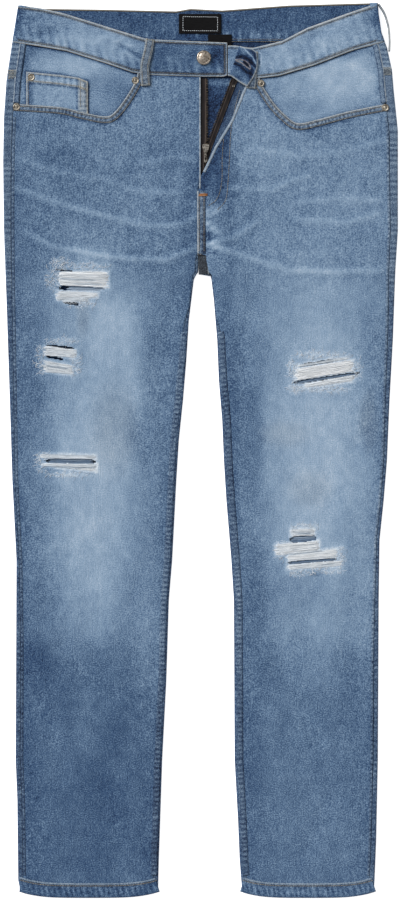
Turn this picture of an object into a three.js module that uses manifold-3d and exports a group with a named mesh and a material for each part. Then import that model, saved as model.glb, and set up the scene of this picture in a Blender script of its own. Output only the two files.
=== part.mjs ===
// Ripped denim jeans, undone at the waist and laid out flat on a surface.
// Millimetres, +Z up, the waist towards +Y and the wearer's right leg at -X.
// The origin is under the middle of the garment, on the surface it lies on.

import * as THREE from "three";
import { mergeVertices } from "three/addons/utils/BufferGeometryUtils.js";
import Module from "manifold-3d";

const wasm = await Module();
wasm.setup();

// ---------------------------------------------------------------------------
// Driving dimensions
// ---------------------------------------------------------------------------

const DENIM = 1.2; // one layer of denim
const HEM = 2.0; // the turned-up hem, pressed flat
const BAND = 2.4; // the folded waistband
const LOOP = 1.4; // a belt loop, folded in three
const TAPE = 0.8; // a zip tape
const LABEL = 0.7; // a woven label
const GAP = 0.3; // space left at seams and between layers
const LAYER = DENIM + GAP; // from one layer of denim to the next

const SEAT_RISE = 1.5; // the seat lies on its back pockets
const SEAT_END = 236; // the seat is raised above this line
const SEAT_RAMP = 60; // and comes down over this length
const FOLD_LEVEL = 3.9; // middle of the upper layer at the folded edges
const LOFT = 1.5; // how much higher the upper layer lies inside the edges
const LOFT_REACH = 30; // distance from an edge over which it rises
const RIPPLE = 0.25; // height of the slight waves in the upper layer

const TOP = 537; // half the length of the whole garment
const HEM_TOP = -512;
const HEM_CORNER = -530;
const HEM_BOW = 7; // the hem hangs lower in the middle of the leg
const CROTCH = 210;
const CROTCH_SEAM_END = 235;
const HIDDEN_SEAM = 10; // a side seam's distance from the edge at the waist
const LOOP_WIDTH = 10.8;

// Edges of the legs, [y, x], from the waist down
const OUTER_LEFT = [
  [537, -219], [490, -226], [444, -233], [400, -236], [348, -237], [264, -236],
  [180, -233], [60, -229], [-36, -226], [-132, -221], [-372, -222], [-420, -220],
  [-516, -219], [-530, -216],
];
const OUTER_RIGHT = [
  [537, 213], [508, 215], [483, 224], [456, 230], [432, 232], [384, 237],
  [264, 237], [216, 234], [132, 231], [60, 227], [-12, 224], [-60, 220],
  [-108, 215], [-180, 214], [-372, 213], [-468, 211], [-516, 209], [-530, 208],
];
const INNER_LEFT = [
  [236, -3.6], [211, -5], [205, -8], [156, -14], [108, -17], [60, -21], [12, -26],
  [-36, -29], [-132, -34], [-180, -38], [-276, -41], [-372, -46], [-492, -50],
  [-530, -51],
];
const INNER_RIGHT = [
  [236, -2.2], [211, -2.2], [205, 12], [180, 16], [132, 20], [84, 22], [36, 26],
  [-12, 28], [-60, 31], [-132, 37], [-180, 40], [-372, 41], [-444, 45],
  [-492, 47], [-530, 50],
];

// How far inside the edge each seam shows on the front, [y, distance]
const OUTSEAM_OFFSET = [
  [537, 10], [444, 11], [400, 11], [264, 9], [180, 7], [60, 5], [-36, 3.6],
  [-132, 3.6], [-228, 5.5], [-530, 6],
];
const INSEAM_OFFSET_LEFT = [[236, 4], [205, 4], [156, 6], [60, 7], [-530, 6]];
const INSEAM_OFFSET_RIGHT = [
  [236, 9], [229, 9], [211, 13], [205, 4], [180, 5], [132, 7], [-530, 7],
];

// Lines across the top, [x, y], from left to right
const BAND_SEAM_LEFT = [
  [-240, 493], [-224, 490], [-161, 479], [-110, 463], [-81, 453], [-58, 450], [0, 448],
  [32.4, 448],
];
const BAND_TOP_LEFT = [
  [-219, 534], [-190, 530], [-164, 524], [-64, 493], [-20, 491], [32.4, 489],
];
const BAND_SEAM_RIGHT = [
  [34, 449], [53, 445], [68, 446], [94, 449], [137, 462], [183, 480], [221, 492],
  [240, 497],
];
const BAND_TOP_RIGHT = [
  [47, 481], [65, 483], [98, 491], [129, 507], [176, 524], [213, 536],
];
const BACK_TOP = [
  [-219, 534], [-190, 530], [-115, 529], [-29, 527], [-12, 530], [26, 528],
  [106, 534], [213, 537],
];
const BACK_BAND_SEAM = 491;
const YOKE_SIDE = 450;
const YOKE_MIDDLE = 402;

// Pocket openings, from the side seam up to the waistband
const POCKET_LEFT = [
  [-168, 411], [-142, 405], [-116, 400], [-104, 404], [-89, 423], [-77, 444],
];
const POCKET_RIGHT = [
  [178, 406], [140, 396], [116, 392], [100, 403], [87, 417], [74, 437],
];
const POCKET_SIDE = 415; // where the openings meet the side seams

// The open fly, from the waistband down to its bartack
const FLY_LEFT = [[0.5, 448], [0.5, 329]];
const FLY_RIGHT = [[57, 445], [51, 430], [37.5, 396.5], [17, 363], [10, 348], [0.5, 329]];
const CROTCH_SEAM = [[0.5, 329], [-3, 310], [-3, CROTCH_SEAM_END]];

// Stations down the seat, as shares of its side, and then along the legs
const SEAT_SHARES = [0, 0.25, 0.5, 0.8, 1];
const LEG_ROWS = [
  229, 211, 205, 180, 156, 108, 60, 12, -36, -84, -132, -180, -276, -372, -444,
  HEM_TOP + 1, HEM_TOP - 1, HEM_CORNER,
];
const WRAP_REACH = 14; // the back's rows are level over its folded-round edge

// ---------------------------------------------------------------------------
// Small geometry helpers
// ---------------------------------------------------------------------------

// The value at a key in a table of [key, value] pairs whose keys go one way
function valueAt(table, key) {
  for (let i = 1; i < table.length; i += 1) {
    const [from, a] = table[i - 1];
    const [to, b] = table[i];
    if ((key - from) * (key - to) <= 0) {
      return a + ((b - a) * (key - from)) / (to - from);
    }
  }
  const first = table[0];
  const last = table[table.length - 1];
  return Math.abs(key - first[0]) < Math.abs(key - last[0]) ? first[1] : last[1];
}

// The stretch of a table between two keys, with both ends added
function stretch(table, from, to) {
  const inside = table.filter(([key]) => (key - from) * (key - to) < 0);
  if ((table[0][0] - table[table.length - 1][0]) * (from - to) < 0) inside.reverse();
  return [[from, valueAt(table, from)], ...inside, [to, valueAt(table, to)]];
}

// A smooth line through a few points, as a list of points
function smooth(points, divisions) {
  const curve = new THREE.SplineCurve(points.map(([x, y]) => new THREE.Vector2(x, y)));
  return curve.getPoints(divisions).map(({ x, y }) => [x, y]);
}

// An outline moved inwards all round, each corner along its mitre
function inset(points, distance) {
  const area = THREE.ShapeUtils.area(points.map(([x, y]) => new THREE.Vector2(x, y)));
  const ring = area < 0 ? [...points].reverse() : points;
  const normals = ring.map(([x, y], i) => {
    const [nextX, nextY] = ring[(i + 1) % ring.length];
    return new THREE.Vector2(y - nextY, nextX - x).normalize();
  });
  return ring.map(([x, y], i) => {
    const before = normals[(i + ring.length - 1) % ring.length];
    const after = normals[i];
    const scale = distance / Math.max(1 + before.dot(after), 0.5);
    return [x + (before.x + after.x) * scale, y + (before.y + after.y) * scale];
  });
}

// Distance from a point on the garment to its nearest outer edge
function edgeDistance(x, y) {
  const outer = Math.min(x - valueAt(OUTER_LEFT, y), valueAt(OUTER_RIGHT, y) - x);
  if (y > CROTCH) return Math.min(outer, Math.hypot(x, y - CROTCH));
  const inner = x < 0 ? valueAt(INNER_LEFT, y) - x : x - valueAt(INNER_RIGHT, y);
  return Math.min(outer, Math.abs(inner));
}

// Height of the underside of the back, which lies on the surface or the pockets
function floorLevel(y) {
  const along = THREE.MathUtils.smoothstep(y, SEAT_END - SEAT_RAMP, SEAT_END);
  return SEAT_RISE * along;
}

// Height of the middle of the upper layer of cloth
function frontLevel(x, y) {
  const rise = LOFT * (1 - Math.exp(-Math.max(edgeDistance(x, y), 0) / LOFT_REACH));
  const ripple = RIPPLE * Math.sin(y / 41 + x / 67) * Math.sin(x / 53 - y / 90);
  return floorLevel(y) + FOLD_LEVEL + rise + ripple;
}

// ---------------------------------------------------------------------------
// Closed solids
// ---------------------------------------------------------------------------

function flipped(index) {
  return index.flatMap((value, i) => (i % 3 ? [] : [value, index[i + 2], index[i + 1]]));
}

function signedVolume(positions, index) {
  const corner = (i) => new THREE.Vector3().fromArray(positions, index[i] * 3);
  let sum = 0;
  for (let i = 0; i < index.length; i += 3) {
    sum += corner(i).dot(corner(i + 1).cross(corner(i + 2)));
  }
  return sum / 6;
}

function geometryFrom(positions, index) {
  const geometry = new THREE.BufferGeometry();
  geometry.setAttribute("position", new THREE.Float32BufferAttribute(positions, 3));
  geometry.setIndex(signedVolume(positions, index) < 0 ? flipped(index) : index);
  return geometry;
}

// A closed sheet between two grids of points, rows by columns
function sheetBetween(upper, lower) {
  const rows = upper.length;
  const columns = upper[0].length;
  const positions = [...upper.flat(2), ...lower.flat(2)];
  const at = (row, column) => row * columns + column;
  const under = rows * columns;
  const index = [];
  const quad = (a, b, c, d) => index.push(a, b, c, a, c, d);
  for (let row = 0; row + 1 < rows; row += 1) {
    for (let column = 0; column + 1 < columns; column += 1) {
      const corners = [at(row, column), at(row, column + 1), at(row + 1, column + 1)];
      corners.push(at(row + 1, column));
      quad(...corners);
      quad(...corners.map((corner) => corner + under).reverse());
    }
  }
  const wall = (a, b) => quad(a, b, b + under, a + under);
  for (let row = 0; row + 1 < rows; row += 1) {
    wall(at(row, 0), at(row + 1, 0));
    wall(at(row + 1, columns - 1), at(row, columns - 1));
  }
  for (let column = 0; column + 1 < columns; column += 1) {
    wall(at(0, column + 1), at(0, column));
    wall(at(rows - 1, column), at(rows - 1, column + 1));
  }
  return geometryFrom(positions, index);
}

// Cloth that turns round the folded edges: rows of middle points, each moved to both
// sides by half the row's thickness, at a right angle to the row as seen from its end
function foldedSheet(rows, thicknesses) {
  const moved = (side) => rows.map((row, r) => row.map(([x, y, z], c) => {
    const before = row[Math.max(c - 1, 0)];
    const after = row[Math.min(c + 1, row.length - 1)];
    const turn = new THREE.Vector2(after[0] - before[0], after[2] - before[2]).normalize();
    const shift = (side * thicknesses[r]) / 2;
    return [x - turn.y * shift, y, z + turn.x * shift];
  }));
  return sheetBetween(moved(1), moved(-1));
}

// Grids for the upper layer share their lines, so stacked pieces stay parallel
const GRID_X = 29;
const GRID_Y = 44;

function layerUnder(outline, level, thickness) {
  const lines = (values, step) => {
    const first = Math.floor(Math.min(...values) / step);
    const last = Math.ceil(Math.max(...values) / step);
    return Array.from({ length: last - first + 1 }, (_, i) => (first + i) * step);
  };
  const columns = lines(outline.map(([x]) => x), GRID_X);
  const rows = lines(outline.map(([, y]) => y), GRID_Y);
  const grid = (shift) => rows.map((y) => columns.map((x) => [x, y, level(x, y) + shift]));
  return sheetBetween(grid(thickness / 2), grid(-thickness / 2));
}

function prism(outline, bottom, top) {
  const shape = new THREE.Shape(outline.map(([x, y]) => new THREE.Vector2(x, y)));
  const geometry = new THREE.ExtrudeGeometry(shape, { depth: top - bottom, bevelEnabled: false });
  return geometry.translate(0, 0, bottom);
}

function solidFrom(geometry) {
  const bare = geometry.clone();
  bare.deleteAttribute("normal");
  bare.deleteAttribute("uv");
  const merged = mergeVertices(bare, 1e-4);
  return new wasm.Manifold(new wasm.Mesh({
    numProp: 3,
    vertProperties: new Float32Array(merged.attributes.position.array),
    triVerts: new Uint32Array(merged.index.array),
  }));
}

function geometryOf(solid) {
  const mesh = solid.getMesh();
  return geometryFrom(Array.from(mesh.vertProperties), Array.from(mesh.triVerts));
}

const HIGH = 30; // above everything

// One cut piece of the upper layers: the layer inside its outline
function cutPiece(outline, offset, thickness, seam = GAP / 2) {
  const shape = inset(outline, seam);
  const level = (x, y) => frontLevel(x, y) + offset;
  return solidFrom(layerUnder(shape, level, thickness))
    .intersect(solidFrom(prism(shape, -HIGH, HIGH)));
}

// ---------------------------------------------------------------------------
// Materials
// ---------------------------------------------------------------------------

const cloth = (color) => new THREE.MeshStandardMaterial({ color, roughness: 0.95, metalness: 0 });
const metal = (color) => new THREE.MeshStandardMaterial({ color, roughness: 0.35, metalness: 1 });

const FADED_DENIM = cloth(0x6f8db3);
const BACK_DENIM = cloth(0x54739d);
const BAND_DENIM = cloth(0x7c99ba);
const INSIDE_DENIM = cloth(0x30507f);
const FACING_DENIM = cloth(0x8fa9c6);
const TAPE_CLOTH = cloth(0x2a2624);
const LABEL_CLOTH = cloth(0x17161a);
const NICKEL = metal(0xb9b0a6);
const COPPER = metal(0xb09a86);
const OLD_BRASS = metal(0x8d8576);

const jeans = new THREE.Group();

function addPiece(name, geometry, material) {
  const mesh = new THREE.Mesh(geometry, material);
  mesh.name = name;
  jeans.add(mesh);
  return mesh;
}

// ---------------------------------------------------------------------------
// Back: panels and yokes turn round the folded edges on to the front
// ---------------------------------------------------------------------------

const TURN_STEPS = 3;
const FLAT_STEPS = 5;

// Middle points of a half turn between the upper and lower layer, from the top down
// at the left edge (side -1), or from the bottom up at the right edge (side 1)
function halfTurn(edge, side, top, bottom, thickness) {
  const radius = (top - bottom) / 2;
  const centre = edge - side * (radius + thickness / 2);
  return Array.from({ length: TURN_STEPS + 1 }, (_, i) => {
    const angle = (i / TURN_STEPS) * Math.PI;
    const z = (top + bottom) / 2 - side * radius * Math.cos(angle);
    return [centre + side * radius * Math.sin(angle), z];
  });
}

// One row across the back: [x, z] from the seam on the left, round the edge, along the
// surface, and round the right edge; an end that isn't folded stops at the middle
function rowAcross({ left, right, seamLeft, seamRight, top, bottom, thickness }) {
  const turned = TURN_STEPS + 1;
  const start = seamLeft === null
    ? Array.from({ length: turned + 1 }, (_, i) => [left + i * 0.8, bottom])
    : [[seamLeft, top], ...halfTurn(left, -1, top, bottom, thickness)];
  const end = seamRight === null
    ? Array.from({ length: turned + 1 }, (_, i) => [right - (turned - i) * 0.8, bottom])
    : [...halfTurn(right, 1, top, bottom, thickness), [seamRight, top]];
  const from = start[start.length - 1][0];
  const to = end[0][0];
  const flat = Array.from({ length: FLAT_STEPS - 1 }, (_, i) => (
    [from + ((to - from) * (i + 1)) / FLAT_STEPS, bottom]
  ));
  return [...start, ...flat, ...end];
}

// The lower edge of a yoke, and the top of a back panel, at each x
function yokeSeam(x) {
  const side = x < 0 ? -valueAt(OUTER_LEFT, YOKE_SIDE) : valueAt(OUTER_RIGHT, YOKE_SIDE);
  const share = Math.min(Math.abs(x) / (side - WRAP_REACH), 1);
  return THREE.MathUtils.lerp(YOKE_MIDDLE, YOKE_SIDE, share);
}

// Side seam on the front at a height y, for the left (-1) or right (1) leg
function outseam(side, y) {
  const edge = side < 0 ? OUTER_LEFT : OUTER_RIGHT;
  return valueAt(edge, y) - side * valueAt(OUTSEAM_OFFSET, y);
}

function inseam(side, y) {
  return side < 0
    ? valueAt(INNER_LEFT, y) - valueAt(INSEAM_OFFSET_LEFT, y)
    : valueAt(INNER_RIGHT, y) + valueAt(INSEAM_OFFSET_RIGHT, y);
}

// A row of a left or right half, above the crotch (open at the middle) or along a leg
function halfRow(side, y, thickness, legged) {
  const outer = valueAt(side < 0 ? OUTER_LEFT : OUTER_RIGHT, y);
  const middle = legged ? valueAt(side < 0 ? INNER_LEFT : INNER_RIGHT, y) : (side * GAP) / 2;
  const outerSeam = outseam(side, y) + (side * GAP) / 2;
  const innerSeam = legged ? inseam(side, y) - (side * GAP) / 2 : null;
  return rowAcross({
    left: side < 0 ? outer : middle,
    right: side < 0 ? middle : outer,
    seamLeft: side < 0 ? outerSeam : innerSeam,
    seamRight: side < 0 ? innerSeam : outerSeam,
    top: floorLevel(y) + FOLD_LEVEL + (thickness - DENIM) / 2,
    bottom: floorLevel(y) + thickness / 2,
    thickness,
  });
}

// How much lower than its corners the hem hangs at x
function hemBow(side, x) {
  const outer = valueAt(side < 0 ? OUTER_LEFT : OUTER_RIGHT, HEM_CORNER);
  const inner = valueAt(side < 0 ? INNER_LEFT : INNER_RIGHT, HEM_CORNER);
  const across = (2 * x - outer - inner) / (outer - inner);
  return HEM_BOW * Math.max(1 - across ** 4, 0);
}

const seatLine = (share) => THREE.MathUtils.lerp(YOKE_SIDE, SEAT_END, share);

function backPanel(side) {
  const rows = SEAT_SHARES.map((share) => halfRow(side, seatLine(share), DENIM, false)
    .map(([x, z]) => {
      const top = yokeSeam(x) - GAP / 2;
      return [x, THREE.MathUtils.lerp(top, SEAT_END, share), z];
    }));
  const thicknesses = rows.map(() => DENIM);
  for (const y of LEG_ROWS) {
    const thickness = y < HEM_TOP ? HEM : DENIM;
    const lowest = y === HEM_CORNER;
    rows.push(halfRow(side, y, thickness, true)
      .map(([x, z]) => [x, lowest ? y - hemBow(side, x) : y, z]));
    thicknesses.push(thickness);
  }
  return foldedSheet(rows, thicknesses);
}

function yoke(side) {
  const shares = [0, 0.5, 1];
  const rows = shares.map((share) => {
    const sideLine = THREE.MathUtils.lerp(BACK_BAND_SEAM, YOKE_SIDE, share);
    return halfRow(side, sideLine, DENIM, false).map(([x, z]) => {
      const top = BACK_BAND_SEAM - GAP / 2;
      return [x, THREE.MathUtils.lerp(top, yokeSeam(x) + GAP / 2, share), z];
    });
  });
  return foldedSheet(rows, shares.map(() => DENIM));
}

const BAND_SHARES = [0, 0.5, 1];
const bandLine = (share) => THREE.MathUtils.lerp(TOP, BACK_BAND_SEAM, share);

// Where the waistband's back meets its front at a side, from the top down
function bandSide(side) {
  return BAND_SHARES.map((share) => {
    const edge = valueAt(side < 0 ? OUTER_LEFT : OUTER_RIGHT, bandLine(share));
    const x = edge - side * HIDDEN_SEAM;
    return [x, THREE.MathUtils.lerp(valueAt(BACK_TOP, x), BACK_BAND_SEAM, share)];
  });
}

// The waistband across the back, turned at both sides as far as the side seams
function waistbandBack() {
  const rows = BAND_SHARES.map((share, i) => {
    const across = rowAcross({
      left: valueAt(OUTER_LEFT, bandLine(share)),
      right: valueAt(OUTER_RIGHT, bandLine(share)),
      seamLeft: bandSide(-1)[i][0] - GAP / 2,
      seamRight: bandSide(1)[i][0] + GAP / 2,
      top: SEAT_RISE + FOLD_LEVEL + (BAND - DENIM) / 2,
      bottom: SEAT_RISE + BAND / 2,
      thickness: BAND,
    });
    return across.map(([x, z]) => {
      const top = valueAt(BACK_TOP, x);
      return [x, THREE.MathUtils.lerp(top, BACK_BAND_SEAM + GAP / 2, share), z];
    });
  });
  return foldedSheet(rows, BAND_SHARES.map(() => BAND));
}

for (const [name, side] of [["left", -1], ["right", 1]]) {
  addPiece(`back_panel_${name}`, backPanel(side), BACK_DENIM);
  addPiece(`back_yoke_${name}`, yoke(side), BACK_DENIM);
}
addPiece("waistband_back", waistbandBack(), INSIDE_DENIM);

// ---------------------------------------------------------------------------
// Front panels, cut by the rips
// ---------------------------------------------------------------------------

const swap = ([y, x]) => [x, y];
const outseamLine = (side, from, to) => (
  stretch([TOP, 491, 470.5, ...SEAT_SHARES.map(seatLine), ...LEG_ROWS]
    .map((y) => [y, outseam(side, y)]), from, to).map(swap)
);
const inseamLine = (side, from, to) => (
  stretch([SEAT_END, ...LEG_ROWS].map((y) => [y, inseam(side, y)]), from, to).map(swap)
);

// The bowed hem between the two seams of a leg
function hemLine(side) {
  const from = inseam(side, HEM_CORNER);
  const to = outseam(side, HEM_CORNER);
  return [0.15, 0.35, 0.65, 0.85].map((share) => {
    const x = THREE.MathUtils.lerp(from, to, share);
    return [x, HEM_CORNER - hemBow(side, x)];
  });
}

function pocketOpening(side) {
  const inner = side < 0 ? POCKET_LEFT : POCKET_RIGHT;
  const start = [outseam(side, POCKET_SIDE), POCKET_SIDE];
  const band = side < 0 ? BAND_SEAM_LEFT : BAND_SEAM_RIGHT;
  const top = side < 0 ? -75 : 70;
  return [...smooth([start, ...inner], 12), [top, valueAt(band, top)]];
}

function frontPanel(side) {
  const band = side < 0 ? BAND_SEAM_LEFT : BAND_SEAM_RIGHT;
  const fly = side < 0 ? FLY_LEFT : FLY_RIGHT;
  const opening = pocketOpening(side);
  const from = opening[opening.length - 1][0];
  const waist = stretch(band, from, fly[0][0]).slice(1, -1);
  const outline = [
    ...opening, ...waist, ...fly, ...CROTCH_SEAM.slice(1),
    ...inseamLine(side, CROTCH_SEAM_END, HEM_CORNER), ...hemLine(side),
    ...outseamLine(side, HEM_CORNER, POCKET_SIDE).slice(0, -1),
  ];
  const panel = cutPiece(outline, 0, DENIM);
  const hem = [
    ...inseamLine(side, HEM_TOP, HEM_CORNER), ...hemLine(side),
    ...outseamLine(side, HEM_CORNER, HEM_TOP),
  ];
  return panel.add(cutPiece(hem, (HEM - DENIM) / 2, HEM));
}

// Rips across the threads: middle, length, height and slope of each open slit
const RIPS = [
  { side: -1, x: -141, y: 194, length: 52, height: 6, slope: 0 },
  { side: -1, x: -170, y: 124, length: 34, height: 5, slope: -3 },
  { side: -1, x: -155, y: -13, length: 60, height: 6, slope: 0 },
  { side: 1, x: 151, y: 87, length: 80, height: 6, slope: 8 },
  { side: 1, x: 121, y: -107, length: 34, height: 6, slope: 4 },
  { side: 1, x: 134, y: -133, length: 58, height: 6, slope: 3 },
];
const RIP_POINTS = 14;

// A slit with pointed ends, as a prism through everything
function ripCutter({ x, y, length, height, slope }) {
  const turn = THREE.MathUtils.degToRad(slope);
  const outline = Array.from({ length: RIP_POINTS }, (_, i) => {
    const angle = (i / RIP_POINTS) * 2 * Math.PI;
    const along = (length / 2) * Math.cos(angle);
    const across = (height / 2) * Math.sin(angle);
    return [
      x + along * Math.cos(turn) - across * Math.sin(turn),
      y + along * Math.sin(turn) + across * Math.cos(turn),
    ];
  });
  return solidFrom(prism(outline, -HIGH, HIGH));
}

for (const [name, side] of [["left", -1], ["right", 1]]) {
  let panel = frontPanel(side);
  for (const rip of RIPS.filter((slit) => slit.side === side)) {
    panel = panel.subtract(ripCutter(rip));
  }
  addPiece(`front_panel_${name}`, geometryOf(panel), FADED_DENIM);
}

// ---------------------------------------------------------------------------
// Front pockets: the facing under each opening, and the coin pocket
// ---------------------------------------------------------------------------

const UNDER_FRONT = -LAYER;
const FACING_OVERLAP = 14; // how far a facing reaches under the front panel

function pocketFacing(side) {
  const band = side < 0 ? BAND_SEAM_LEFT : BAND_SEAM_RIGHT;
  const top = side < 0 ? -72 : 67;
  const outer = outseam(side, 489);
  const hidden = (side < 0 ? POCKET_LEFT : POCKET_RIGHT)
    .map(([x, y]) => [x - side * FACING_OVERLAP * 0.4, y - FACING_OVERLAP]).reverse();
  const outline = [
    ...stretch(band, outer, top), ...hidden,
    ...outseamLine(side, POCKET_SIDE - FACING_OVERLAP, valueAt(band, outer)).slice(0, -1),
  ];
  return cutPiece(outline, UNDER_FRONT, DENIM);
}

function coinPocket() {
  const edge = pocketOpening(-1);
  const line = edge.map(([x, y]) => [x, y]).sort((a, b) => a[0] - b[0]);
  const left = -209;
  const right = -135;
  const outline = [
    [left, 454], [-168, 450], [-147, 447], [right, 442],
    ...stretch(line, right, left),
  ];
  return cutPiece(outline, 0, DENIM);
}

for (const [name, side] of [["left", -1], ["right", 1]]) {
  addPiece(`pocket_facing_${name}`, geometryOf(pocketFacing(side)), FACING_DENIM);
}
addPiece("coin_pocket", geometryOf(coinPocket()), FADED_DENIM);

// ---------------------------------------------------------------------------
// Waistband: two fronts, and the buttonhole end turned back over the right one
// ---------------------------------------------------------------------------

const BAND_OFFSET = (BAND - DENIM) / 2;

function waistbandLeft() {
  const [top, middle, bottom] = bandSide(-1);
  const outline = [
    ...stretch(BAND_TOP_LEFT, top[0], 32.4), ...stretch(BAND_SEAM_LEFT, 32.4, bottom[0]),
    middle,
  ];
  return cutPiece(outline, BAND_OFFSET, BAND);
}

const TURN_LINE = [[47.5, 485], [42.5, 466], [34.5, 459], [34.5, 450]];
const TURNED_END = [[56, 435.5], [65, 444], [68, 457], [70, 472], [66.5, 479]];
const TURN_WALL = 2.6; // thickness of the fold where the end turns over

function waistbandRight() {
  const [top, middle, bottom] = bandSide(1);
  const clear = TURN_WALL + 2 * GAP;
  const outline = [
    ...stretch(BAND_TOP_RIGHT, 51, top[0]), middle,
    ...stretch(BAND_SEAM_RIGHT, bottom[0], 38),
    [TURN_LINE[2][0] + clear, 458], [TURN_LINE[1][0] + clear, 467],
  ];
  return cutPiece(outline, BAND_OFFSET, BAND);
}

const TURNED_OFFSET = BAND_OFFSET + BAND + LOOP + 2 * GAP;

// The end lies over the loop, and its fold comes down beside the band's end
function buttonholeEnd() {
  const flap = cutPiece([...TURN_LINE, ...TURNED_END], TURNED_OFFSET, BAND);
  const inner = [...TURN_LINE].reverse().map(([x, y]) => [x + TURN_WALL, y]);
  inner[0][1] += 1;
  inner[inner.length - 1][1] -= 1;
  const middle = (BAND_OFFSET + TURNED_OFFSET) / 2;
  const fold = cutPiece([...TURN_LINE, ...inner], middle, TURNED_OFFSET - BAND_OFFSET + BAND);
  const slit = [
    [43.5, 468.5], [43, 467], [56, 459], [57.5, 456.8], [59.8, 458], [58.8, 460.6],
    [56.4, 460.6],
  ];
  return flap.add(fold).subtract(solidFrom(prism(slit, -HIGH, HIGH)));
}

addPiece("waistband_front_left", geometryOf(waistbandLeft()), BAND_DENIM);
addPiece("waistband_front_right", geometryOf(waistbandRight()), BAND_DENIM);
addPiece("waistband_buttonhole_end", geometryOf(buttonholeEnd()), INSIDE_DENIM);

// ---------------------------------------------------------------------------
// Belt loops
// ---------------------------------------------------------------------------

const LOOP_OFFSET = BAND_OFFSET + (BAND + LOOP) / 2 + GAP;

// A straight strip between two points, as an outline
function strip(from, to, width) {
  const along = new THREE.Vector2(to[0] - from[0], to[1] - from[1]).normalize();
  const half = [(-along.y * width) / 2, (along.x * width) / 2];
  return [
    [from[0] + half[0], from[1] + half[1]], [from[0] - half[0], from[1] - half[1]],
    [to[0] - half[0], to[1] - half[1]], [to[0] + half[0], to[1] + half[1]],
  ];
}

addPiece(
  "belt_loop_front_left",
  geometryOf(cutPiece(strip([-61, 492], [-67, 438], LOOP_WIDTH), LOOP_OFFSET, LOOP)),
  BAND_DENIM,
);
addPiece(
  "belt_loop_front_right",
  geometryOf(cutPiece(strip([66, 478], [60.5, 434], LOOP_WIDTH), LOOP_OFFSET, LOOP)),
  BAND_DENIM,
);
for (const [name, x, top] of [["back_left", -188, 529], ["back_middle", 6, 528]]) {
  const outline = strip([x, top], [x, top - 52], LOOP_WIDTH);
  addPiece(`belt_loop_${name}`, prism(outline, 0, DENIM), BAND_DENIM);
}

// The loop at the right side stands on its edge, bowed away from the waistband
const SIDE_LOOP = [[215, 535.5], [221, 523], [225, 507], [226.5, 492], [227, 479]];
const SIDE_LOOP_THICKNESS = 2;
const SIDE_LOOP_HEIGHT = 9.4;

function sideLoop() {
  const line = smooth(SIDE_LOOP, 10);
  const shifted = (shift) => line.map(([x, y]) => [x + shift, y]);
  const outline = [
    ...shifted(-SIDE_LOOP_THICKNESS / 2),
    ...shifted(SIDE_LOOP_THICKNESS / 2).reverse(),
  ];
  return prism(outline, 0, SIDE_LOOP_HEIGHT);
}

addPiece("belt_loop_right_side", sideLoop(), BAND_DENIM);

// ---------------------------------------------------------------------------
// Back pockets: plain patches that the seat lies on
// ---------------------------------------------------------------------------

for (const [name, side] of [["left", -1], ["right", 1]]) {
  const outline = [[38, 388], [186, 400], [182, 272], [118, 246], [50, 262]]
    .map(([x, y]) => [side * x, y]);
  const ring = side < 0 ? outline : outline.reverse();
  addPiece(`back_pocket_${name}`, prism(ring, 0, DENIM), BACK_DENIM);
}

// ---------------------------------------------------------------------------
// The open fly: shield, facing, zip tapes, slider, pull tab and stop
// ---------------------------------------------------------------------------

const FLY_SHIELD = [[-9, 447], [44, 447], [43, 400], [24, 352], [15, 331], [-9, 331]];
const FLY_FACING = [
  [45.6, 444.5], [60, 444.5], [55, 430], [43, 396], [24, 363], [17, 348], [9, 333],
  [9, 347], [13.6, 362],
];
const TAPE_LEFT = [[-6, 446.5], [8, 446.5], [8, 371], [5.2, 362], [5.2, 333], [-6, 333]];
const TAPE_RIGHT = [
  [37, 446], [45.2, 446], [13.2, 362], [8.6, 347], [8.6, 333], [5.6, 333], [5.6, 361], [9, 369],
];

addPiece("fly_shield", geometryOf(cutPiece(FLY_SHIELD, 2 * UNDER_FRONT, DENIM)), INSIDE_DENIM);
addPiece("fly_facing", geometryOf(cutPiece(FLY_FACING, UNDER_FRONT, DENIM)), INSIDE_DENIM);
addPiece("zip_tape_left", geometryOf(cutPiece(TAPE_LEFT, UNDER_FRONT, TAPE)), TAPE_CLOTH);
addPiece("zip_tape_right", geometryOf(cutPiece(TAPE_RIGHT, UNDER_FRONT, TAPE)), TAPE_CLOTH);

const SLIDER_X = 6.2;
const SLIDER_Y = 362;
const SLIDER_LENGTH = 9;
const SLIDER_WIDTH = 8;
const SLIDER_PLATE = 1;
const PIN_LIFT = 1.5; // the pin's height above the plate
const PIN_RADIUS = 0.45;
const LUG_WIDTH = 0.9;
const TAB_WIDTH = 3.8;
const TAB_LENGTH = 16;
const TAB_THICKNESS = 0.9;
const TAB_DROP = 1.4; // how far the tab's end lies below the pin
const EYE_RADIUS = 1.2;
const EYE_HOLE = 0.75;

// The highest point of the upper layer near a place
function highestNear(x, y, reach) {
  const around = [-reach, 0, reach];
  return Math.max(...around.flatMap((dx) => around.map((dy) => frontLevel(x + dx, y + dy))));
}

const TAPE_TOP = highestNear(SLIDER_X, SLIDER_Y, 8) + UNDER_FRONT + TAPE / 2;
const PLATE_BOTTOM = TAPE_TOP + GAP;
const PIN_HEIGHT = PLATE_BOTTOM + SLIDER_PLATE + PIN_LIFT;
const PIN_Y = SLIDER_Y - 1;

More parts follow.
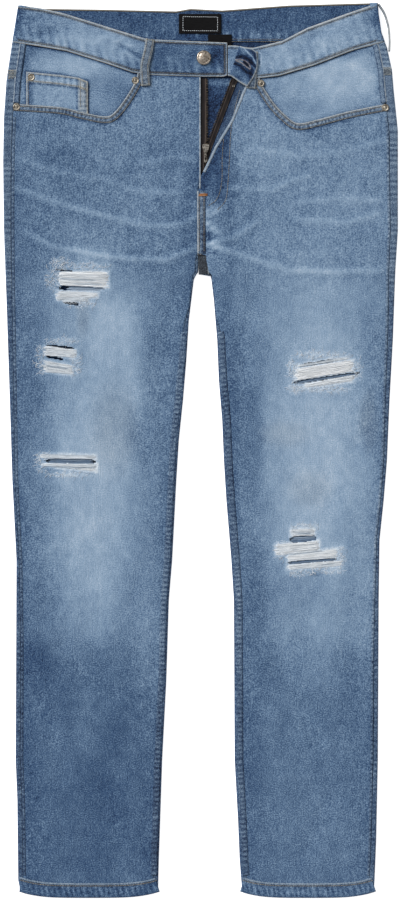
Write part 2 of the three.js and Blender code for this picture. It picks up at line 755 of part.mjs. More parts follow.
// A plate wider at its top, two lugs on it, and the pin between them
function zipSlider() {
  const half = SLIDER_WIDTH / 2;
  const end = SLIDER_LENGTH / 2;
  const plate = [
    [-half, end], [-half, end - 2.6], [-half * 0.62, -end + 1.2], [-half * 0.4, -end],
    [half * 0.4, -end], [half * 0.62, -end + 1.2], [half, end - 2.6], [half, end],
    [half * 0.5, end + 0.8], [-half * 0.5, end + 0.8],
  ].map(([x, y]) => [x + SLIDER_X, y + SLIDER_Y]);
  let solid = solidFrom(prism(plate, PLATE_BOTTOM, PLATE_BOTTOM + SLIDER_PLATE));
  const reach = TAB_WIDTH / 2 + GAP + LUG_WIDTH;
  for (const side of [-1, 1]) {
    const lug = new THREE.BoxGeometry(LUG_WIDTH, 2.2, SLIDER_PLATE / 2 + PIN_LIFT + 0.8)
      .translate(
        SLIDER_X + side * (reach - LUG_WIDTH / 2),
        PIN_Y,
        PLATE_BOTTOM + SLIDER_PLATE / 2 + (SLIDER_PLATE / 2 + PIN_LIFT + 0.8) / 2,
      );
    solid = solid.add(solidFrom(lug));
  }
  const pin = new THREE.CylinderGeometry(PIN_RADIUS, PIN_RADIUS, 2 * reach - 0.4, 12)
    .rotateZ(Math.PI / 2)
    .translate(SLIDER_X, PIN_Y, PIN_HEIGHT);
  return solid.add(solidFrom(pin));
}

// A tab with an eye round the pin: its side view across its width, trimmed to its
// tapered plan, with a hole near the far end
function pullTab() {
  const sideView = new THREE.Shape();
  const round = Math.asin(TAB_THICKNESS / 2 / EYE_RADIUS);
  sideView.absarc(0, 0, EYE_RADIUS, Math.PI + round, 3 * Math.PI - round, false);
  sideView.lineTo(-TAB_LENGTH, TAB_THICKNESS / 2 - TAB_DROP);
  sideView.lineTo(-TAB_LENGTH, -TAB_THICKNESS / 2 - TAB_DROP);
  const eye = new THREE.Path();
  eye.absarc(0, 0, EYE_HOLE, 0, 2 * Math.PI, true);
  sideView.holes.push(eye);
  const body = new THREE.ExtrudeGeometry(sideView, {
    depth: TAB_WIDTH, bevelEnabled: false, curveSegments: 8,
  });
  // the side view is drawn along +X and up +Y; it is turned to run along +Y and up +Z
  const turn = new THREE.Matrix4().makeBasis(
    new THREE.Vector3(0, 1, 0), new THREE.Vector3(0, 0, 1), new THREE.Vector3(1, 0, 0),
  );
  body.applyMatrix4(turn).translate(SLIDER_X - TAB_WIDTH / 2, PIN_Y, PIN_HEIGHT);
  const half = TAB_WIDTH / 2;
  const plan = new THREE.Shape();
  plan.moveTo(half, 3);
  plan.lineTo(-half, 3);
  plan.lineTo(-half * 0.72, -4);
  plan.lineTo(-half, -TAB_LENGTH + half);
  plan.absarc(0, -TAB_LENGTH + half, half, Math.PI, 2 * Math.PI, false);
  plan.lineTo(half * 0.72, -4);
  const hole = new THREE.Path();
  hole.absellipse(0, -TAB_LENGTH + 4.4, half * 0.5, 2.2, 0, 2 * Math.PI, true);
  plan.holes.push(hole);
  const trim = new THREE.ExtrudeGeometry(plan, {
    depth: 2 * HIGH, bevelEnabled: false, curveSegments: 8,
  }).translate(SLIDER_X, PIN_Y, -HIGH);
  return solidFrom(body).intersect(solidFrom(trim));
}

addPiece("zip_slider", geometryOf(zipSlider()), OLD_BRASS);
addPiece("zip_pull_tab", geometryOf(pullTab()), OLD_BRASS);

const STOP = { x: 39.6, y: 437, width: 3, length: 2.4, height: 1.4 };
addPiece(
  "zip_stop",
  new THREE.BoxGeometry(STOP.width, STOP.length, STOP.height).translate(
    STOP.x,
    STOP.y,
    highestNear(STOP.x, STOP.y, 3) + UNDER_FRONT + TAPE / 2 + GAP + STOP.height / 2,
  ),
  OLD_BRASS,
);

// ---------------------------------------------------------------------------
// Button and rivets
// ---------------------------------------------------------------------------

// A turned piece standing on its base at (x, y), from [radius, height] points
function turned(profile, x, y, base, sides) {
  const points = profile.map(([radius, height]) => new THREE.Vector2(radius, height));
  return new THREE.LatheGeometry(points, sides)
    .rotateX(Math.PI / 2)
    .translate(x, y, base);
}

const BUTTON_RADIUS = 8.7;
const BUTTON_AT = [4, 470.5];
const BUTTON_PROFILE = [
  [0, 0], [3.2, 0], [3.2, 1], [BUTTON_RADIUS - 0.6, 1.1], [BUTTON_RADIUS, 1.7],
  [BUTTON_RADIUS - 0.2, 2.3], [BUTTON_RADIUS * 0.8, 3.1], [BUTTON_RADIUS * 0.45, 3.6], [0, 3.8],
];
addPiece(
  "shank_button",
  geometryOf(solidFrom(turned(
    BUTTON_PROFILE,
    ...BUTTON_AT,
    highestNear(...BUTTON_AT, BUTTON_RADIUS) + BAND_OFFSET + BAND / 2 + GAP,
    28,
  ))),
  NICKEL,
);

const RIVET_PROFILE = [
  [0, 0], [4.4, 0], [4.4, 0.5], [3.8, 1], [2.2, 0.9], [1.6, 1.4], [0, 1.6],
];
const RIVETS = {
  pocket_left_inner: [-78, 443.5],
  pocket_left_side: [-220.5, 412],
  coin_pocket: [-203, 447.5],
  pocket_right_inner: [72.5, 440],
  pocket_right_side: [221.5, 411],
};
for (const [name, place] of Object.entries(RIVETS)) {
  const base = highestNear(...place, 5) + DENIM / 2 + GAP;
  addPiece(
    `rivet_${name}`,
    geometryOf(solidFrom(turned(RIVET_PROFILE, ...place, base, 14))),
    COPPER,
  );
}

// ---------------------------------------------------------------------------
// Labels inside the back of the waistband, bare
// ---------------------------------------------------------------------------

const LABEL_BASE = SEAT_RISE + BAND + GAP;
addPiece(
  "waist_label",
  prism([[-26, 500.5], [25, 499.7], [25, 523], [-26, 524.5]], LABEL_BASE, LABEL_BASE + LABEL),
  LABEL_CLOTH,
);
addPiece(
  "size_tab",
  prism([[9, 484], [37.5, 484], [37.5, 499], [9, 499]], LABEL_BASE, LABEL_BASE + LABEL),
  LABEL_CLOTH,
);

export default jeans;
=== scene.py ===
import math

import bpy
import numpy as np
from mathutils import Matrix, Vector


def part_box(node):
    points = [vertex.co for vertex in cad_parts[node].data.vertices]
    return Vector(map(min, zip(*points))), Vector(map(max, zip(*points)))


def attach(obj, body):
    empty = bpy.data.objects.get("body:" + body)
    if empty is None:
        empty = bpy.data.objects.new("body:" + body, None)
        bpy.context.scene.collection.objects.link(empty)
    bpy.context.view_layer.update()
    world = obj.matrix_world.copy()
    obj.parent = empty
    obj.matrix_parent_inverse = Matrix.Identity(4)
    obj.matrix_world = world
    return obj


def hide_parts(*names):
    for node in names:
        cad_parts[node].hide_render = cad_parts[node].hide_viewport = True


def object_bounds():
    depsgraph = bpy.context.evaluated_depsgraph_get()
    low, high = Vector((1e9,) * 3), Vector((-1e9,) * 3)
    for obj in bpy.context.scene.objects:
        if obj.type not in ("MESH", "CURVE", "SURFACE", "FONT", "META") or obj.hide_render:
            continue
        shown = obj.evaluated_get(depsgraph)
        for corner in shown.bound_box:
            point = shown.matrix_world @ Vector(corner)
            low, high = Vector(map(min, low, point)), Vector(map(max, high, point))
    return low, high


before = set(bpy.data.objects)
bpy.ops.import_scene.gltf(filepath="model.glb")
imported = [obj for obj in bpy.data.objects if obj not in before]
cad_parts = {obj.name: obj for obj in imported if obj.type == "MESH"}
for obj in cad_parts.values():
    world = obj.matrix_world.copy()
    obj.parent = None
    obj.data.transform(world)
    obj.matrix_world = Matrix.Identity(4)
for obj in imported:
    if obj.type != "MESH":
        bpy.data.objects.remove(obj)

cad_low, cad_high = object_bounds()

# Ripped jeans laid out flat: every length below is in millimetres, +X towards the
# wearer's left leg, +Y towards the waist and +Z up out of the front.

MM = 0.001

# ---------------------------------------------------------------------------
# Sizes of the cloth
# ---------------------------------------------------------------------------

DENIM = 1.2
HEM = 2.0
BAND = 2.4
LOOP = 1.4
TAPE = 0.8
LABEL = 0.7
GAP = 0.3
LAYER = DENIM + GAP

SEAT_RISE = 1.5
SEAT_END = 236
SEAT_RAMP = 60
FOLD_LEVEL = 3.9
LOFT = 1.5
LOFT_REACH = 30

TOP = cad_high.y / MM
HEM_TOP = -512
HEM_CORNER = -530
HEM_BOW = 7
CROTCH = 210
CROTCH_SEAM_END = 235
HIDDEN_SEAM = 10
LOOP_WIDTH = 10.8

# Tables with a left and a right form are keyed by side: -1 for the left, 1 for the right
SIDES = ((-1, "left"), (1, "right"))

# Edges of the legs as (y, x), from the waist down
OUTER = {
    -1: [
        (537, -219), (490, -226), (444, -233), (400, -236), (348, -237), (264, -236),
        (180, -233), (60, -229), (-36, -226), (-132, -221), (-372, -222), (-420, -220),
        (-516, -219), (-530, -216),
    ],
    1: [
        (537, 213), (508, 215), (483, 224), (456, 230), (432, 232), (384, 237), (264, 237),
        (216, 234), (132, 231), (60, 227), (-12, 224), (-60, 220), (-108, 215), (-180, 214),
        (-372, 213), (-468, 211), (-516, 209), (-530, 208),
    ],
}
INNER = {
    -1: [
        (236, -2.5), (214, -2.5), (211, -5), (205, -8), (156, -14), (108, -17), (60, -21),
        (12, -26), (-36, -29), (-132, -34), (-180, -38), (-276, -41), (-372, -46),
        (-492, -50), (-530, -51),
    ],
    1: [
        (236, -2.2), (211.2, -2.2), (210.6, 12), (205, 13), (180, 16), (132, 20), (84, 22),
        (36, 26), (-12, 28), (-60, 31), (-132, 37), (-180, 40), (-372, 41), (-444, 45),
        (-492, 47), (-530, 50),
    ],
}

# How far inside the edge each seam shows on the front, (y, distance)
OUTSEAM_OFFSET = [
    (537, 10), (444, 11), (400, 11), (264, 9), (180, 7), (60, 5), (-36, 3.6),
    (-132, 3.6), (-228, 5.5), (-530, 6),
]
INSEAM_OFFSET = {
    -1: [
        (236, 1.5), (228, 3), (211, 3.3), (205, 1.2), (172, 1.2), (150, 5), (60, 7), (-530, 6),
    ],
    1: [
        (236, 9), (229, 9), (211.2, 12.6), (210.6, 1.2), (180, 1.2), (160, 1.4), (138, 6),
        (60, 7), (-530, 7),
    ],
}

# Lines across the top as (x, y), from left to right
BAND_SEAM = {
    -1: [
        (-240, 493), (-224, 490), (-161, 479), (-110, 463), (-81, 453), (-58, 450), (0, 448),
        (32.4, 448),
    ],
    1: [
        (34, 449), (53, 445), (68, 446), (94, 449), (137, 462), (183, 480), (221, 492),
        (240, 497),
    ],
}
BAND_TOP = {
    -1: [(-219, 534), (-190, 530), (-164, 524), (-64, 493), (-20, 491), (32.4, 489)],
    1: [(47, 481), (65, 483), (98, 491), (129, 507), (176, 524), (213, 536)],
}
BACK_TOP = [
    (-219, 534), (-190, 530), (-115, 529), (-29, 527), (-12, 530), (26, 528), (106, 534),
    (213, 537),
]
BACK_BAND_SEAM = 491
YOKE_SIDE = 450
YOKE_MIDDLE = 402

# Edge of each pocket opening: its height at the side seam, its curve, and its x at the band
POCKET_SIDE = 415
POCKET = {
    -1: [(-168, 411), (-142, 405), (-116, 400), (-104, 404), (-89, 423), (-77, 444)],
    1: [(178, 406), (140, 396), (116, 392), (100, 403), (87, 417), (74, 437)],
}
POCKET_TOP = {-1: -75, 1: 70}

# The front's inner edge as (y, x): the open fly and the crotch seam
FLY = {
    -1: [(448, 0.5), (329, 0.5), (310, -3), (235, -3)],
    1: [
        (445, 57), (430, 51), (396.5, 37.5), (363, 17), (348, 10), (329, 0.5), (310, -3),
        (235, -3),
    ],
}

# ---------------------------------------------------------------------------
# Small helpers on arrays
# ---------------------------------------------------------------------------


def at(table, key):
    """Value at a key in a table of (key, value) rows, straight between the rows."""
    rows = np.array(sorted(table), float)
    return np.interp(key, rows[:, 0], rows[:, 1])


def ease(low, high, value):
    """Smooth step: 3t2 - 2t3 of the share t of the way from low to high, held at 0 and 1."""
    t = np.clip((value - low) / (high - low), 0, 1)
    return t * t * (3 - 2 * t)


def hump(distance, width):
    """Bell curve: e to the minus square of distance over width."""
    return np.exp(-np.square(distance / width))


def evenly(line, count):
    """The same line with its points at equal steps of length."""
    steps = np.linalg.norm(np.diff(line, axis=0), axis=1)
    run = np.concatenate([[0], np.cumsum(steps)])
    stops = np.linspace(0, run[-1], count)
    return np.stack([np.interp(stops, run, line[:, k]) for k in range(line.shape[1])], -1)


def length_of(line):
    """Length along a line of points."""
    return np.linalg.norm(np.diff(line, axis=0), axis=1).sum()


def spline(points, spacing=1.0):
    """Smooth line through a few points (Catmull-Rom: on each stretch a cubic whose
    slope at an end is half the step between its neighbours), at equal steps of length."""
    p = np.array(points, float)
    ends = np.vstack([2 * p[0] - p[1], p, 2 * p[-1] - p[-2]])
    t = np.linspace(0, len(p) - 1, 30 * (len(p) - 1) + 1)
    i = np.minimum(t.astype(int), len(p) - 2)
    f = (t - i)[:, None]
    a, b, c, d = (ends[i + k] for k in range(4))
    fine = b + 0.5 * f * (c - a + f * (2 * a - 5 * b + 4 * c - d + f * (3 * b - a - 3 * c + d)))
    return evenly(fine, max(int(length_of(fine) / spacing), 2) + 1)


def beside(line, distance):
    """The line moved to its left by a distance, at a right angle to its own direction."""
    along = np.gradient(line, axis=0)
    along /= np.linalg.norm(along, axis=1)[:, None]
    return line + distance * np.stack([-along[:, 1], along[:, 0]], -1)


def distance_to(points, x, y):
    """Shortest distance from each place to a line of straight stretches."""
    line = np.array(points, float)
    place = np.stack([x, y], -1)[..., None, :]
    start, step = line[:-1], np.diff(line, axis=0)
    t = np.clip(((place - start) * step).sum(-1) / (step * step).sum(-1), 0, 1)
    return np.linalg.norm(place - (start + t[..., None] * step), axis=-1).min(-1)


LATTICE = 64


def mottle(x, y, size, seed, stretch=1.0):
    """Soft random hills from -1 to 1: seeded numbers on a lattice, blended by smooth steps."""
    lattice = np.random.default_rng(seed).uniform(-1, 1, (LATTICE, LATTICE))
    u, v = x / size + LATTICE, y / (size * stretch) + LATTICE
    i, j = np.floor(u).astype(int), np.floor(v).astype(int)
    f, g = ease(0, 1, u - i), ease(0, 1, v - j)

    def corner(a, b):
        """Number at a lattice corner; the lattice repeats."""
        return lattice[(i + a) % LATTICE, (j + b) % LATTICE]

    low = corner(0, 0) * (1 - f) + corner(1, 0) * f
    high = corner(0, 1) * (1 - f) + corner(1, 1) * f
    return low * (1 - g) + high * g


# ---------------------------------------------------------------------------
# The form of the garment
# ---------------------------------------------------------------------------


def outer_edge(side, y):
    """Where a leg's folded outer edge is at a height."""
    return at(OUTER[side], y)


def inner_edge(side, y):
    """Where a leg's folded inner edge is at a height."""
    return at(INNER[side], y)


def outseam(side, y):
    """The side seam: the outer edge moved inwards."""
    return outer_edge(side, y) - side * at(OUTSEAM_OFFSET, y)


def inseam(side, y):
    """The inseam: the inner edge moved away from the middle."""
    return inner_edge(side, y) + side * at(INSEAM_OFFSET[side], y)


def fly_right(y):
    """Edge of the open fly's right side at a height."""
    return at(FLY[1], y)


def along_table(table, x, lift=0.0):
    """A line over each x: the table's height there, raised by a lift."""
    return np.stack([x, at(table, x) + lift], -1)


def raised(level, lift):
    """The function that gives a level, and a lift above it."""
    return lambda x, y: level(x, y) + lift


def edge_distance(x, y):
    """Distance from a place on the garment to its nearest outer edge."""
    outer = np.minimum(x - outer_edge(-1, y), outer_edge(1, y) - x)
    inner = np.abs(x - np.where(x < 0, inner_edge(-1, y), inner_edge(1, y)))
    return np.minimum(outer, np.where(y > CROTCH, np.hypot(x, y - CROTCH), inner))


def floor_level(y):
    """Underside of the back: it lies on the pockets at the seat and comes down by a smooth step."""
    return SEAT_RISE * ease(SEAT_END - SEAT_RAMP, SEAT_END, y)


def front_level(x, y):
    """Middle of the upper layer: it rises from the folded edge by 1 minus e to the minus
    distance over the reach, with slight waves of two crossed sines."""
    rise = LOFT * (1 - np.exp(-np.maximum(edge_distance(x, y), 0) / LOFT_REACH))
    ripple = 0.25 * np.sin(y / 41 + x / 67) * np.sin(x / 53 - y / 90)
    return floor_level(y) + FOLD_LEVEL + rise + ripple


def hem_bow(side, x):
    """How much lower than its corners the hem hangs: 1 minus the fourth power across."""
    outer, inner = outer_edge(side, HEM_CORNER), inner_edge(side, HEM_CORNER)
    across = (2 * x - outer - inner) / (outer - inner)
    return HEM_BOW * np.maximum(1 - across**4, 0)


# Long creases as (line, half width, height): pale ridges fanned across the hips
WHISKERS = [
    ([(-221, 315), (-172, 297), (-125, 284), (-64, 269), (-26, 270), (-7, 280)], 4, 0.7),
    ([(-121, 328), (-87, 314), (-64, 309), (-26, 309)], 4, 0.5),
    ([(-210, 263), (-179, 245), (-103, 231), (-41, 228), (-7, 243)], 4, 0.7),
    ([(-216, 350), (-170, 334), (-128, 326)], 5, 0.4),
    ([(-70, 344), (-30, 352), (-6, 349)], 5, 0.4),
    ([(37, 314), (85, 312), (106, 322), (129, 329)], 4, 0.5),
    ([(7, 248), (38, 254), (68, 274)], 4, 0.7),
    ([(115, 277), (176, 273), (211, 284)], 4, 0.6),
    ([(15, 246), (68, 228), (106, 216), (153, 214), (218, 216)], 4, 0.7),
    ([(119, 298), (165, 302), (214, 300)], 4, 0.5),
    ([(70, 362), (120, 352), (180, 360), (222, 372)], 6, 0.4),
    ([(8, 284), (16, 286), (26, 292)], 2.5, 0.6),
    ([(8, 272), (15, 267), (26, 260)], 2.5, 0.7),
    ([(9, 247), (16, 244), (30, 238)], 2.5, 0.5),
]

# Soft hollows and folds as (line, half width, height), where the legs bend and crumple
FOLDS = [
    ([(-80, 44), (-72, 20), (-62, -12)], 9, -0.6),
    ([(-168, -238), (-140, -268), (-108, -292)], 11, -0.7),
    ([(-124, -398), (-110, -430), (-96, -458)], 10, -0.6),
    ([(-196, -300), (-176, -340), (-168, -392)], 10, -0.5),
    ([(92, -262), (120, -300), (140, -352)], 11, -0.6),
    ([(150, -420), (138, -460), (120, -490)], 9, -0.5),
    ([(108, -28), (130, -44), (150, -66)], 9, -0.6),
    ([(190, 8), (204, 36), (210, 64)], 8, -0.7),
    ([(60, 176), (48, 120), (50, 60)], 10, -0.5),
    ([(-30, 190), (-44, 120), (-50, 40)], 10, -0.5),
]


def crease_height(x, y):
    """Sum of bell curves across each crease's line."""
    height = np.zeros_like(x)
    for line, width, rise in WHISKERS + FOLDS:
        height += rise * hump(distance_to(line, x, y), width)
    return height


def leg_relief(x, y):
    """Creases, plus two sizes of soft hills, the larger ones drawn out along the leg."""
    return crease_height(x, y) + 0.35 * mottle(x, y, 26, 3, 2.2) + 0.16 * mottle(x, y, 9, 4, 1.5)


def leg_top(x, y):
    """Upper face of the legs' front."""
    return front_level(x, y) + DENIM / 2 + leg_relief(x, y)


# ---------------------------------------------------------------------------
# How pale the denim is, from 0 (black) to 1 (white)
# ---------------------------------------------------------------------------

# Outer edge of the doubled cloth beside the fly, as (y, x)
PLACKET_X = [
    (448, 52), (432, 47), (408, 41), (384, 36.5), (350, 34.6), (322, 33), (300, 30), (288, 20),
]


def puckers(along, length, seed):
    """Gathers along a seam, from -1 to 1: a sine whose phase wanders, times a slow swell."""
    phase = 2.2 * mottle(along, along * 0, length * 2.4, seed)
    swell = 0.7 + 0.3 * mottle(along, along * 0 + 7, length * 4, seed + 1)
    return np.sin(2 * np.pi * along / length + phase) * swell


# Worn places that are paler, and darker places, most of them painted shadow in folds, creases and
# beside the fly and the pocket edges, as (x, y, half width, half length, paler by)
WEAR_AND_SHADOW = [
    (-131, 20, 60, 215, 0.17),
    (-128, 232, 34, 20, 0.05),
    (-110, -60, 60, 120, 0.02),
    (-128, -110, 34, 60, 0.03),
    (-88, 165, 26, 38, 0.055),
    (-60, -230, 20, 120, 0.05),
    (-102, 26, 26, 50, -0.06),
    (-141, 160, 6, 24, -0.03),
    (-195, -240, 14, 24, -0.07),
    (-122, -450, 30, 80, -0.045),
    (138, 10, 62, 200, 0.12),
    (202, 34, 10, 36, -0.06),
    (139, -147, 9, 4, -0.1),
    (140, 40, 34, 110, 0.04),
    (130, -90, 36, 60, 0.04),
    (130, -240, 40, 60, 0.03),
    (120, 208, 44, 40, 0.035),
    (202, -140, 18, 180, 0.05),
    (-164, 351, 30, 18, -0.05),
    (-185, 392, 30, 14, -0.03),
    (-72, 8, 14, 44, -0.04),
    (130, -48, 18, 16, -0.05),
    (-190, 60, 18, 120, -0.04),
    (35, 20, 14, 170, -0.06),
    (12, 335, 16, 34, -0.09),
    (9.5, 256, 3.4, 9, -0.2),
    (30, 318, 14, 62, -0.09),
    (-7, 325, 10, 30, -0.06),
    (64, 8, 15, 60, -0.08),
    (66, -178, 15, 52, -0.07),
    (-84, 128, 14, 40, 0.05),
    (-14, 270, 12, 40, -0.07),
    (40, 130, 22, 230, -0.035),
    (64, 120, 16, 200, -0.03),
    (68, -190, 26, 110, -0.035),
    (28, 376, 10, 22, -0.07),
    (138, 382, 18, 12, -0.1),
    (-222, -180, 12, 44, -0.05),
    (-108, 90, 20, 130, 0.02),
    (-130, -185, 34, 44, 0.04),
    (-205, -262, 34, 26, -0.035),
    (-62, -262, 24, 30, 0.04),
    (-165, -345, 36, 22, 0.03),
    (-108, -345, 22, 30, -0.03),
    (-130, -385, 34, 26, -0.035),
    (-108, -420, 24, 30, -0.025),
    (138, 90, 46, 46, -0.045),
    (-150, 100, 16, 40, -0.035),
    (-78, 90, 18, 50, 0.045),
    (118, -165, 34, 50, -0.035),
    (68, -380, 16, 60, -0.03),
    (206, 10, 14, 24, -0.04),
    (155, -300, 34, 18, -0.02),
]


def soft_patch(x, y, cx, cy, rx, ry):
    """Flat-topped bell: e to the minus fourth power of the distance, in half sizes."""
    return np.exp(-np.square(np.square((x - cx) / rx) + np.square((y - cy) / ry)))


def top_painted_shading(x, y):
    """Painted shadow lines under the waistband and the pocket edges, painted light and shade of the
    gathers that run out below them as short pale and dark rays, the darker doubled cloth beside the
    fly with a painted shadow along the fold, and painted light and shade of the gathers by the fly
    and the crotch seam."""
    change = np.zeros_like(x)
    high = y > 225
    if not high.any():
        return change
    px, py = x[high], y[high]
    seam = np.where(px < 20, at(BAND_SEAM[-1], px), at(BAND_SEAM[1], px)) - py
    part = -0.24 * hump(seam, 2.0) + 0.05 * puckers(px, 8, 24) * hump(seam - 5, 5)
    for inner in POCKET.values():
        away = distance_to(inner, px, py)
        rays = puckers(px + 0.4 * py, 7, 25)
        part -= 0.15 * hump(away - 9.2, 1.6)
        part += 0.055 * rays * hump(away - 14, 5)
    placket = at(PLACKET_X, py) - px
    inside = ease(-1.5, 1.5, placket) * ease(285, 296, py) * (px > 0)
    part -= 0.075 * inside + 0.1 * inside * hump(px - fly_right(py) - 5, 6)
    part += 0.06 * puckers(py, 6.5, 26) * hump(placket - 3, 5) * ease(280, 300, py)
    fly = np.abs(px + 1)
    part += 0.07 * puckers(py, 5.5, 27) * hump(fly - 6, 5) * (px < 0) * ease(440, 400, py)
    crotch = np.maximum(px - 6, 0)
    rays = puckers(py - 0.5 * px, 8, 28)
    part += 0.08 * rays * hump(crotch - 7, 8) * (px > 6) * ease(300, 285, py)
    change[high] = part
    return change


def denim_shade(x, y):
    """A paler hip and a darker lower leg joined by a smooth step, plus each worn place and each
    painted shadow of the table above, a bell curve along each whisker and slow hills, minus a painted
    shadow that falls off as e to the minus distance from the edge, plus the painted shading near the
    top."""
    lower = ease(-205, -262, y)
    hip = np.where(x < 0, 0.463, 0.52) + 0.02 * mottle(x, y, 60, 11)
    shin = np.where(x < 0, 0.385, 0.435)
    shade = hip * (1 - lower) + shin * lower
    for cx, cy, rx, ry, paler in WEAR_AND_SHADOW:
        shade += paler * soft_patch(x, y, cx, cy, rx, ry)
    for line, _, rise in WHISKERS:
        away = distance_to(line, x, y)
        shade += rise * (0.14 * hump(away, 3.5) - 0.03 * hump(away - 9, 5))
    shade -= 0.06 * np.exp(-np.maximum(edge_distance(x, y) - 6, 0) / 16)
    return shade + 0.025 * mottle(x, y, 20, 12, 1.6) + top_painted_shading(x, y)


# ---------------------------------------------------------------------------
# Rips: open slits, and bands of bare weft threads left across them
# ---------------------------------------------------------------------------

# Each is (left end x, right end x, left top, left bottom, right top, right bottom)
SLITS = {
    -1: [
        (-172, -154, 217.2, 215.6, 215.6, 213.8),
        (-169, -115, 198.3, 191.4, 195.2, 192.0),
        (-164, -147, 178.6, 176.0, 177.6, 173.0),
        (-186, -152, 127.2, 125.6, 124.0, 120.6),
        (-185, -165, 114.0, 111.2, 110.6, 107.8),
        (-184.5, -126, -9.4, -15.6, -10.6, -16.4),
    ],
    1: [
        (122, 165, 103.6, 100.2, 110.2, 107.0),
        (112, 191, 83.0, 79.0, 94.8, 90.8),
        (108, 139, -103.0, -112.0, -102.0, -108.0),
        (105, 163, -133.2, -137.4, -128.6, -132.6),
    ],
}
# Each as above, and how pale its threads are
BANDS = {
    -1: [
        (-170, -111, 214.4, 198.4, 214.6, 195.4, 0.84),
        (-172, -124, 191.6, 180.0, 189.0, 184.0, 0.72),
        (-165, -135, 180.5, 177.5, 184.0, 179.0, 0.6),
        (-187, -150, 125.6, 114.0, 120.6, 111.4, 0.72),
        (-187, -154, 107.8, 94.0, 102.0, 91.4, 0.7),
        (-194, -126, -4.4, -9.4, -6.4, -10.6, 0.72),
        (-190, -125, -15.6, -18.4, -16.4, -25.0, 0.76),
    ],
    1: [
        (113, 183, 97.6, 84.0, 108.6, 95.4, 1.0),
        (124, 184, 79.4, 75.0, 90.6, 83.4, 0.8),
        (116, 178, 102.0, 99.0, 112.0, 109.6, 0.74),
        (109, 136, -94.4, -103.0, -94.0, -102.0, 0.76),
        (90, 142, -113.0, -126.0, -108.6, -121.0, 0.84),
        (104, 164, -124.6, -133.2, -118.0, -128.6, 0.84),
        (104, 170, -137.4, -143.4, -132.0, -138.0, 0.8),
    ],
}
# Mid-blue threads that hang behind a slit, the same way
BEHIND = {
    -1: [
        (-157, -112, 198.3, 191.0, 195.6, 191.6, 0.06),
        (-181, -130, -9.2, -15.8, -10.4, -16.6, 0.02),
        (-178, -160, 92, 88, 91, 88, 0.0),
    ],
    1: [
        (113, 190, 82.4, 79.4, 94.2, 91.2, 0.0),
        (123, 164, 103.2, 100.4, 109.8, 107.2, 0.0),
        (109, 138, -103.4, -111.6, -102.4, -107.6, 0.0),
        (106, 162, -133.4, -137, -128.8, -132.2, 0.0),
    ],
}
# Thin shadow lines where the bare threads part
PARTINGS = [
    [(104, -125.4), (145.7, -121)], [(144, -137.8), (161, -136.3)], [(118, -99.6), (131, -99.6)],
    [(113, 98.6), (150, 104.6), (182, 109)], [(-168, 206), (-128, 204)],
    [(-150, 199.6), (-118, 199)], [(-186, -19), (-150, -21), (-128, -20)],
    [(-184, 101), (-160, 98)],
]


def parting_shade(x, y):
    """How much darker each place is for the nearest parting: a bell curve across it."""
    away = np.min([distance_to(line, x, y) for line in PARTINGS], axis=0)
    return -0.6 * hump(away, 0.7)


# Worn-through places with short fibres: (x, y, half width, half height)
FRAYED = [
    (-1, -169, 224, 12, 9), (-1, -177, 206, 10, 14), (-1, -190, 108, 8, 18),
    (-1, -190, -14, 8, 14), (-1, -140, 221, 30, 4), (-1, -142, 176, 18, 5),
    (-1, -160, -29, 28, 3), (-1, -168, 131, 22, 4), (-1, -150, 104, 6, 16),
    (1, 114, 74, 10, 6), (1, 148, 114, 36, 5), (1, 150, 74, 30, 4),
    (1, 110, 96, 7, 14), (1, 187, 98, 7, 12), (1, 119, -147, 15, 4.5),
    (1, 98, -120, 9, 12), (1, 168, -127, 7, 12), (1, 124, -91, 16, 4),
    (1, 150, -144, 20, 4),
]


def strip_share(shape, x, y):
    """Share of the way across and down a four-cornered strip; both lie in 0..1 inside it."""
    left, right, left_top, left_bottom, right_top, right_bottom = shape[:6]
    u = (x - left) / (right - left)
    top = left_top + (right_top - left_top) * u
    bottom = left_bottom + (right_bottom - left_bottom) * u
    return u, (top - y) / (top - bottom)


def in_strip(shape, x, y):
    """True inside a strip whose ends are pointed: its height shrinks there as a root."""
    u, v = strip_share(shape, x, y)
    reach = 0.5 * np.sqrt(np.clip(1 - np.abs(2 * np.clip(u, 0, 1) - 1) ** 8, 0, 1))
    reach = reach + 0.1 * mottle(x, y, 3, 23)
    return (u > 0) & (u < 1) & (np.abs(v - 0.5) < reach)


def rip_halo(side, x, y):
    """Paler fuzz round each rip: a flat-topped bell on each frayed place, and a narrow
    fringe whose strength falls with the distance to the bare threads."""
    pale = np.zeros_like(x)
    for leg, cx, cy, rx, ry in FRAYED:
        if leg == side:
            fuzz = soft_patch(x, y, cx, cy, rx * 1.1, ry * 1.2)
            pale = np.maximum(pale, 0.7 * fuzz * (0.5 + 0.5 * mottle(x, y, 2.2, 21, 0.7)))
    for shape in BANDS[side]:
        left, right, left_top, left_bottom, right_top, right_bottom, _ = shape
        u, _ = strip_share(shape, x, y)
        u = np.clip(u, 0, 1)
        above = y - (left_top + (right_top - left_top) * u)
        below = (left_bottom + (right_bottom - left_bottom) * u) - y
        sideways = np.maximum(np.maximum(left - x, x - right), 0)
        away = np.hypot(sideways, np.maximum(np.maximum(above, below), 0))
        fringe = hump(np.maximum(away - 0.6, 0), 2.2) * (0.7 + 0.3 * mottle(x, y, 2.2, 22))
        pale = np.maximum(pale, fringe)
    return pale


# ---------------------------------------------------------------------------
# Meshes
# ---------------------------------------------------------------------------


